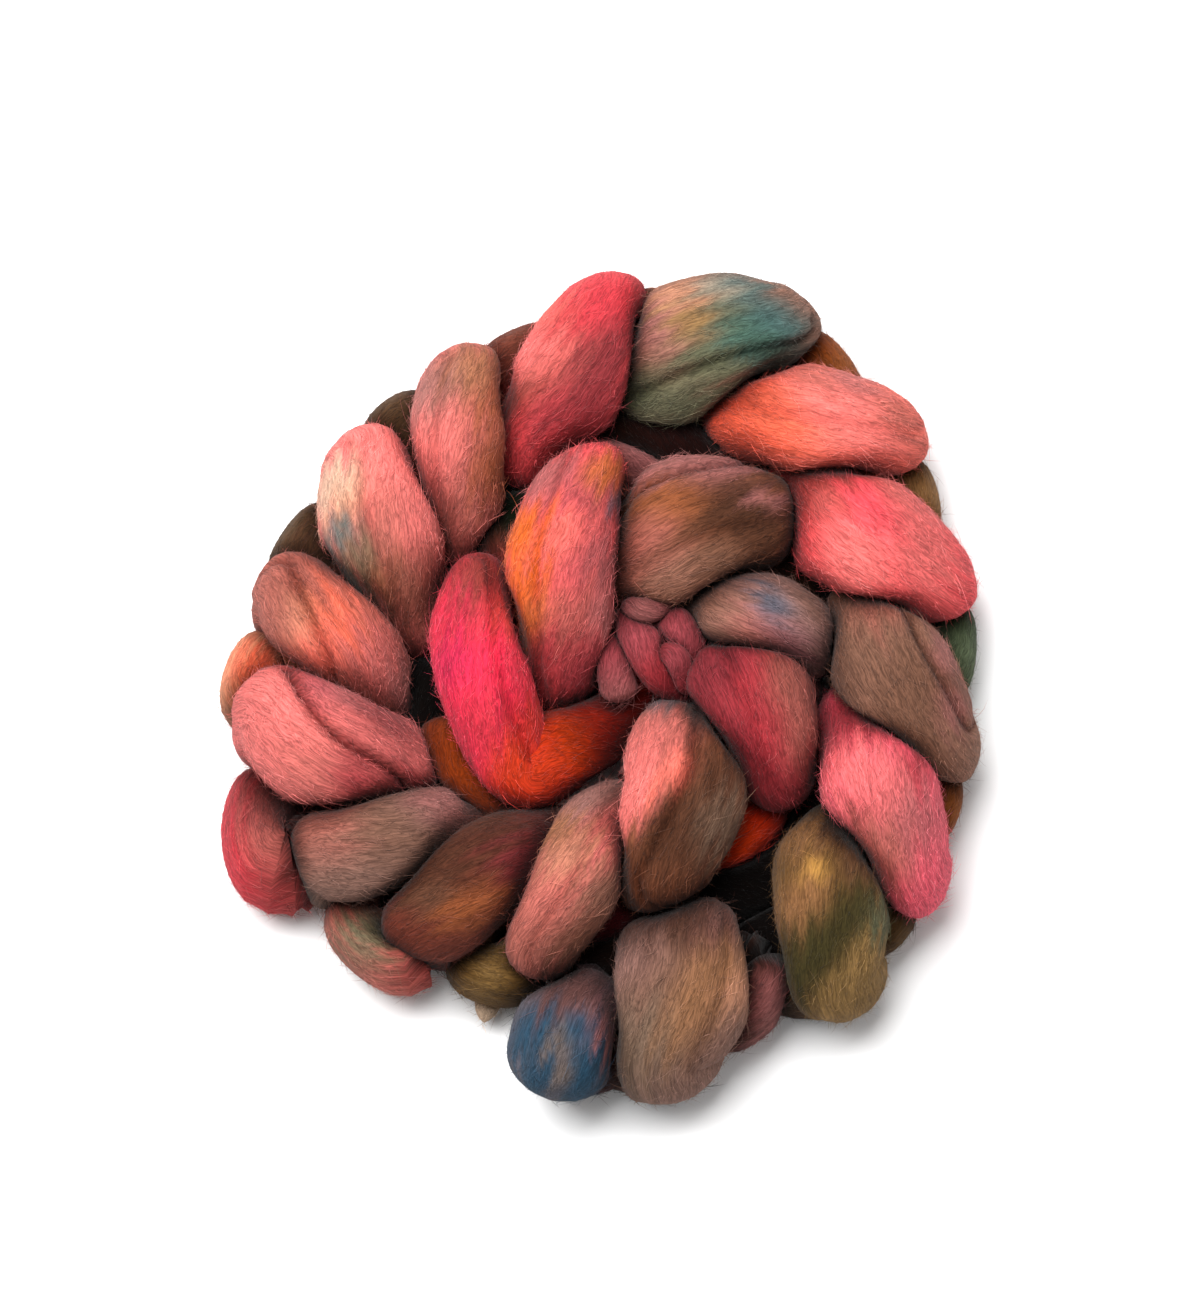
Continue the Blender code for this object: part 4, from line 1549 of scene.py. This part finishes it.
        # Each fibre takes the colour under it, painted shade included, at a random shade that is mostly
        # lighter, partly a painted highlight, with a pale tint added.
        shade = chance.uniform(self.darkest, self.lightest, count)[:, None]
        colour = np.ones((count, 4), np.float32)
        colour[:, :3] = np.clip(under * shade + self.pale * under.max(axis=1, keepdims=True), 0, 1)
        dye = mesh.attributes.new("dye", "FLOAT_COLOR", "POINT")
        dye.data.foreach_set("color", np.repeat(colour, len(places), axis=0).ravel())
        mesh.shade_smooth()
        piece = bpy.data.objects.new(f"{sort.name}_fibres", mesh)
        bpy.context.scene.collection.objects.link(piece)
        return piece

    def build(self, plait: Plait) -> list[bpy.types.Object]:
        """Makes every sort of loose fibre.

        Args:
            plait: The laid strand, with its colours.

        Returns:
            The pieces of loose fibres.
        """
        chance = np.random.default_rng(self.seed)
        return [self.grow(sort, plait.tubes, chance) for sort in LOOSE]


def ranged(
    tree: bpy.types.NodeTree,
    source: bpy.types.NodeSocket,
    taken: tuple[float, float],
    given: tuple[float, float],
) -> bpy.types.NodeSocket:
    """Adds a node that maps a value from one range to another.

    Args:
        tree: The nodes it joins.
        source: The value.
        taken: The range the value comes in.
        given: The range it goes out in.

    Returns:
        The mapped value.
    """
    node = tree.nodes.new("ShaderNodeMapRange")
    for name, value in zip(("From Min", "From Max", "To Min", "To Max"), (*taken, *given)):
        node.inputs[name].default_value = value
    tree.links.new(source, node.inputs["Value"])
    return node.outputs["Result"]


@dataclass(frozen=True)
class WoolFinish:
    """Combed wool: soft streaks of shade along the fibres, a fine crimped relief and a faint sheen.

    The layers of noise are in waves a millimetre along and across the fibres.
    """

    roughness: float = 0.9
    specular: float = 0.06
    sheen: float = 0.05
    sheen_roughness: float = 0.45
    relief: float = 0.0002
    relief_strength: float = 0.7
    crimp_scale: float = 0.20
    crimp: float = 3.4
    locks: tuple[float, float] = (0.035, 0.28)
    strands: tuple[float, float] = (0.09, 0.85)
    fibres: tuple[float, float] = (0.26, 2.3)
    detail: float = 2.0
    noise_roughness: float = 0.6
    fine_share: float = 3.2
    fine_range: tuple[float, float] = (1.56, 2.64)
    streak_light: tuple[float, float] = (0.62, 1.40)
    noise_range: tuple[float, float] = (0.3, 0.7)
    lock_light: tuple[float, float] = (0.90, 1.08)
    loose_scale: float = 700.0
    loose_light: tuple[float, float] = (0.85, 1.2)

    def layer(
        self, group: bpy.types.NodeTree, fibre: bpy.types.NodeSocket, scales: tuple[float, float]
    ) -> bpy.types.NodeSocket:
        """Adds one layer of noise that is drawn out along the fibres.

        Args:
            group: The nodes it joins.
            fibre: The fibre coordinate, in millimetres.
            scales: The layer's waves along and across the fibres.

        Returns:
            The noise.
        """
        along, across = scales
        scaled = group.nodes.new("ShaderNodeVectorMath")
        scaled.operation = "MULTIPLY"
        scaled.inputs[1].default_value = (along, across, across)
        group.links.new(fibre, scaled.inputs[0])
        noise = group.nodes.new("ShaderNodeTexNoise")
        noise.inputs["Scale"].default_value = 1.0
        noise.inputs["Detail"].default_value = self.detail
        noise.inputs["Roughness"].default_value = self.noise_roughness
        group.links.new(scaled.outputs[0], noise.inputs["Vector"])
        return noise.outputs["Fac"]

    def streak_group(self) -> bpy.types.NodeTree:
        """Makes the node group that turns a fibre coordinate, in millimetres, into shade and height.

        Returns:
            The group.
        """
        group = bpy.data.node_groups.new("combed_fibres", "ShaderNodeTree")
        sockets = group.interface
        sockets.new_socket("Fibre", in_out="INPUT", socket_type="NodeSocketVector")
        for name in ("Shade", "Lock", "Height"):
            sockets.new_socket(name, in_out="OUTPUT", socket_type="NodeSocketFloat")
        nodes, links = group.nodes, group.links
        entry = nodes.new("NodeGroupInput")
        leave = nodes.new("NodeGroupOutput")
        wander = nodes.new("ShaderNodeTexNoise")
        wander.inputs["Scale"].default_value = self.crimp_scale
        wander.inputs["Detail"].default_value = self.detail
        links.new(entry.outputs["Fibre"], wander.inputs["Vector"])
        centred = nodes.new("ShaderNodeVectorMath")
        centred.operation = "SUBTRACT"
        centred.inputs[1].default_value = (0.5, 0.5, 0.5)
        links.new(wander.outputs["Color"], centred.inputs[0])
        crimped = nodes.new("ShaderNodeVectorMath")
        crimped.operation = "MULTIPLY_ADD"
        crimped.inputs[1].default_value = (0.0, self.crimp, self.crimp)
        links.new(centred.outputs[0], crimped.inputs[0])
        links.new(entry.outputs["Fibre"], crimped.inputs[2])
        locks, strands, fibres = (
            self.layer(group, crimped.outputs[0], scales)
            for scales in (self.locks, self.strands, self.fibres)
        )
        fine = nodes.new("ShaderNodeMath")
        fine.operation = "MULTIPLY_ADD"
        fine.inputs[1].default_value = self.fine_share
        links.new(fibres, fine.inputs[0])
        links.new(strands, fine.inputs[2])
        shade = ranged(group, fine.outputs[0], self.fine_range, (0.0, 1.0))
        links.new(shade, leave.inputs["Shade"])
        links.new(locks, leave.inputs["Lock"])
        links.new(fine.outputs[0], leave.inputs["Height"])
        return group

    def shader(self, name: str) -> tuple[bpy.types.Material, bpy.types.ShaderNode]:
        """A new material with its shader.

        Args:
            name: The material's name.

        Returns:
            The material and its Principled shader.
        """
        material = bpy.data.materials.new(name)
        material.use_nodes = True
        shader = material.node_tree.nodes["Principled BSDF"]
        shader.inputs["Roughness"].default_value = self.roughness
        shader.inputs["Specular IOR Level"].default_value = self.specular
        shader.inputs["Sheen Weight"].default_value = self.sheen
        shader.inputs["Sheen Roughness"].default_value = self.sheen_roughness
        return material, shader

    def tint(self, material: bpy.types.Material, light: bpy.types.NodeSocket) -> None:
        """Colours a material with its mesh's dye attribute, which holds the dyes with painted shade, and
        on loose fibres a painted highlight, made lighter or darker by a factor.

        Args:
            material: The material.
            light: The factor, which changes over the surface.
        """
        nodes, links = material.node_tree.nodes, material.node_tree.links
        dye = nodes.new("ShaderNodeAttribute")
        dye.attribute_name = "dye"
        tinted = nodes.new("ShaderNodeVectorMath")
        tinted.operation = "SCALE"
        links.new(dye.outputs["Color"], tinted.inputs[0])
        links.new(light, tinted.inputs["Scale"])
        links.new(tinted.outputs[0], nodes["Principled BSDF"].inputs["Base Color"])

    def combed(self, group: bpy.types.NodeTree) -> bpy.types.Material:
        """Makes the strand's own surface.

        Args:
            group: The node group of its streaks.

        Returns:
            The material.
        """
        material, shader = self.shader("combed_wool")
        tree = material.node_tree
        nodes, links = tree.nodes, tree.links
        run = nodes.new("ShaderNodeAttribute")
        run.attribute_name = "fibre"
        streaks = nodes.new("ShaderNodeGroup")
        streaks.node_tree = group
        links.new(run.outputs["Vector"], streaks.inputs["Fibre"])
        both = nodes.new("ShaderNodeMath")
        both.operation = "MULTIPLY"
        streak = ranged(tree, streaks.outputs["Shade"], (0.0, 1.0), self.streak_light)
        lock = ranged(tree, streaks.outputs["Lock"], self.noise_range, self.lock_light)
        links.new(streak, both.inputs[0])
        links.new(lock, both.inputs[1])
        self.tint(material, both.outputs[0])
        bump = nodes.new("ShaderNodeBump")
        bump.inputs["Strength"].default_value = self.relief_strength
        bump.inputs["Distance"].default_value = self.relief
        links.new(streaks.outputs["Height"], bump.inputs["Height"])
        links.new(bump.outputs["Normal"], shader.inputs["Normal"])
        return material

    def loose(self) -> bpy.types.Material:
        """Makes the loose fibres' finish: their colour, painted shade and highlight included, with fine
        changes of shade along each.

        Returns:
            The material.
        """
        material, _ = self.shader("loose_wool")
        tree = material.node_tree
        place = tree.nodes.new("ShaderNodeTexCoord")
        grain = tree.nodes.new("ShaderNodeTexNoise")
        grain.inputs["Scale"].default_value = self.loose_scale
        tree.links.new(place.outputs["Object"], grain.inputs["Vector"])
        self.tint(material, ranged(tree, grain.outputs["Fac"], self.noise_range, self.loose_light))
        return material


@dataclass
class Studio:
    """The pale floor, the soft light from the upper left, and the camera above the coil, in metres."""

    distance: float = 2.0
    elevation: float = 75.0
    aim: tuple[float, float, float] = (0.0003, 0.0065, 0.028)
    lens: float = 191.2
    floor_side: float = 6.0
    floor_light: float = 0.96
    floor_roughness: float = 0.9
    sky: float = 0.26
    lamps: tuple[Lamp, ...] = (
        Lamp("key", (-0.45, 0.38, 1.6), 1.3, 62.0),
        Lamp("fill", (0.7, -0.5, 1.4), 1.6, 4.0),
    )

    def floor(self) -> None:
        """A large level floor that isn't part of the coil."""
        shape = bmesh.new()
        bmesh.ops.create_grid(shape, x_segments=1, y_segments=1, size=self.floor_side / 2)
        mesh = bpy.data.meshes.new("floor")
        shape.to_mesh(mesh)
        shape.free()
        floor = bpy.data.objects.new("floor", mesh)
        bpy.context.scene.collection.objects.link(floor)
        material = bpy.data.materials.new("pale_floor")
        material.use_nodes = True
        shader = material.node_tree.nodes["Principled BSDF"]
        shader.inputs["Base Color"].default_value = (*[self.floor_light] * 3, 1.0)
        shader.inputs["Roughness"].default_value = self.floor_roughness
        mesh.materials.append(material)

    def light(self, lamp: Lamp) -> None:
        """Hangs a square soft light that looks at the coil.

        Args:
            lamp: The light.
        """
        data = bpy.data.lights.new(lamp.name, "AREA")
        data.size = lamp.side
        data.energy = lamp.power
        hung = bpy.data.objects.new(lamp.name, data)
        bpy.context.scene.collection.objects.link(hung)
        hung.location = lamp.place
        hung.rotation_euler = Vector(lamp.place).to_track_quat("Z", "Y").to_euler()

    def build(self) -> None:
        """Sets up the floor, the lights, the sky and the camera."""
        self.floor()
        for lamp in self.lamps:
            self.light(lamp)
        world = bpy.data.worlds.new("soft_sky")
        bpy.context.scene.world = world
        world.use_nodes = True
        sky = world.node_tree.nodes["Background"]
        sky.inputs["Color"].default_value = (1.0, 1.0, 1.0, 1.0)
        sky.inputs["Strength"].default_value = self.sky
        bpy.context.scene.view_settings.view_transform = "Standard"
        data = bpy.data.cameras.new("camera")
        data.lens = self.lens
        camera = bpy.data.objects.new("camera", data)
        bpy.context.scene.collection.objects.link(camera)
        tilt = math.radians(self.elevation)
        away = Vector((0.0, -math.cos(tilt), math.sin(tilt)))
        camera.location = Vector(self.aim) + away * self.distance
        camera.rotation_euler = away.to_track_quat("Z", "Y").to_euler()
        bpy.context.scene.camera = camera


def main() -> None:
    """Builds the coil and its studio, and reports each piece."""
    logging.basicConfig(level=logging.INFO, format="%(name)s: %(message)s")
    Studio().build()
    plait = Plait()
    plait.lay()
    finish = WoolFinish()
    combed = finish.combed(finish.streak_group())
    loose = finish.loose()
    skin = RovingSkin().build(plait, DyeAndShadePainter((plait.middle_x, plait.middle_y)))
    fibres = LooseFibres().build(plait)
    for pieces, material in ((skin, combed), (fibres, loose)):
        for piece in pieces:
            piece.data.materials.append(material)
            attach(piece, BODY)
            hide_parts(SOLID)
            log.info("%s: %d faces", piece.name, len(piece.data.polygons))
    log.info("strand: %.2f m", plait.tubes[0].along[-1] * MM)


if __name__ == "__main__":
    main()
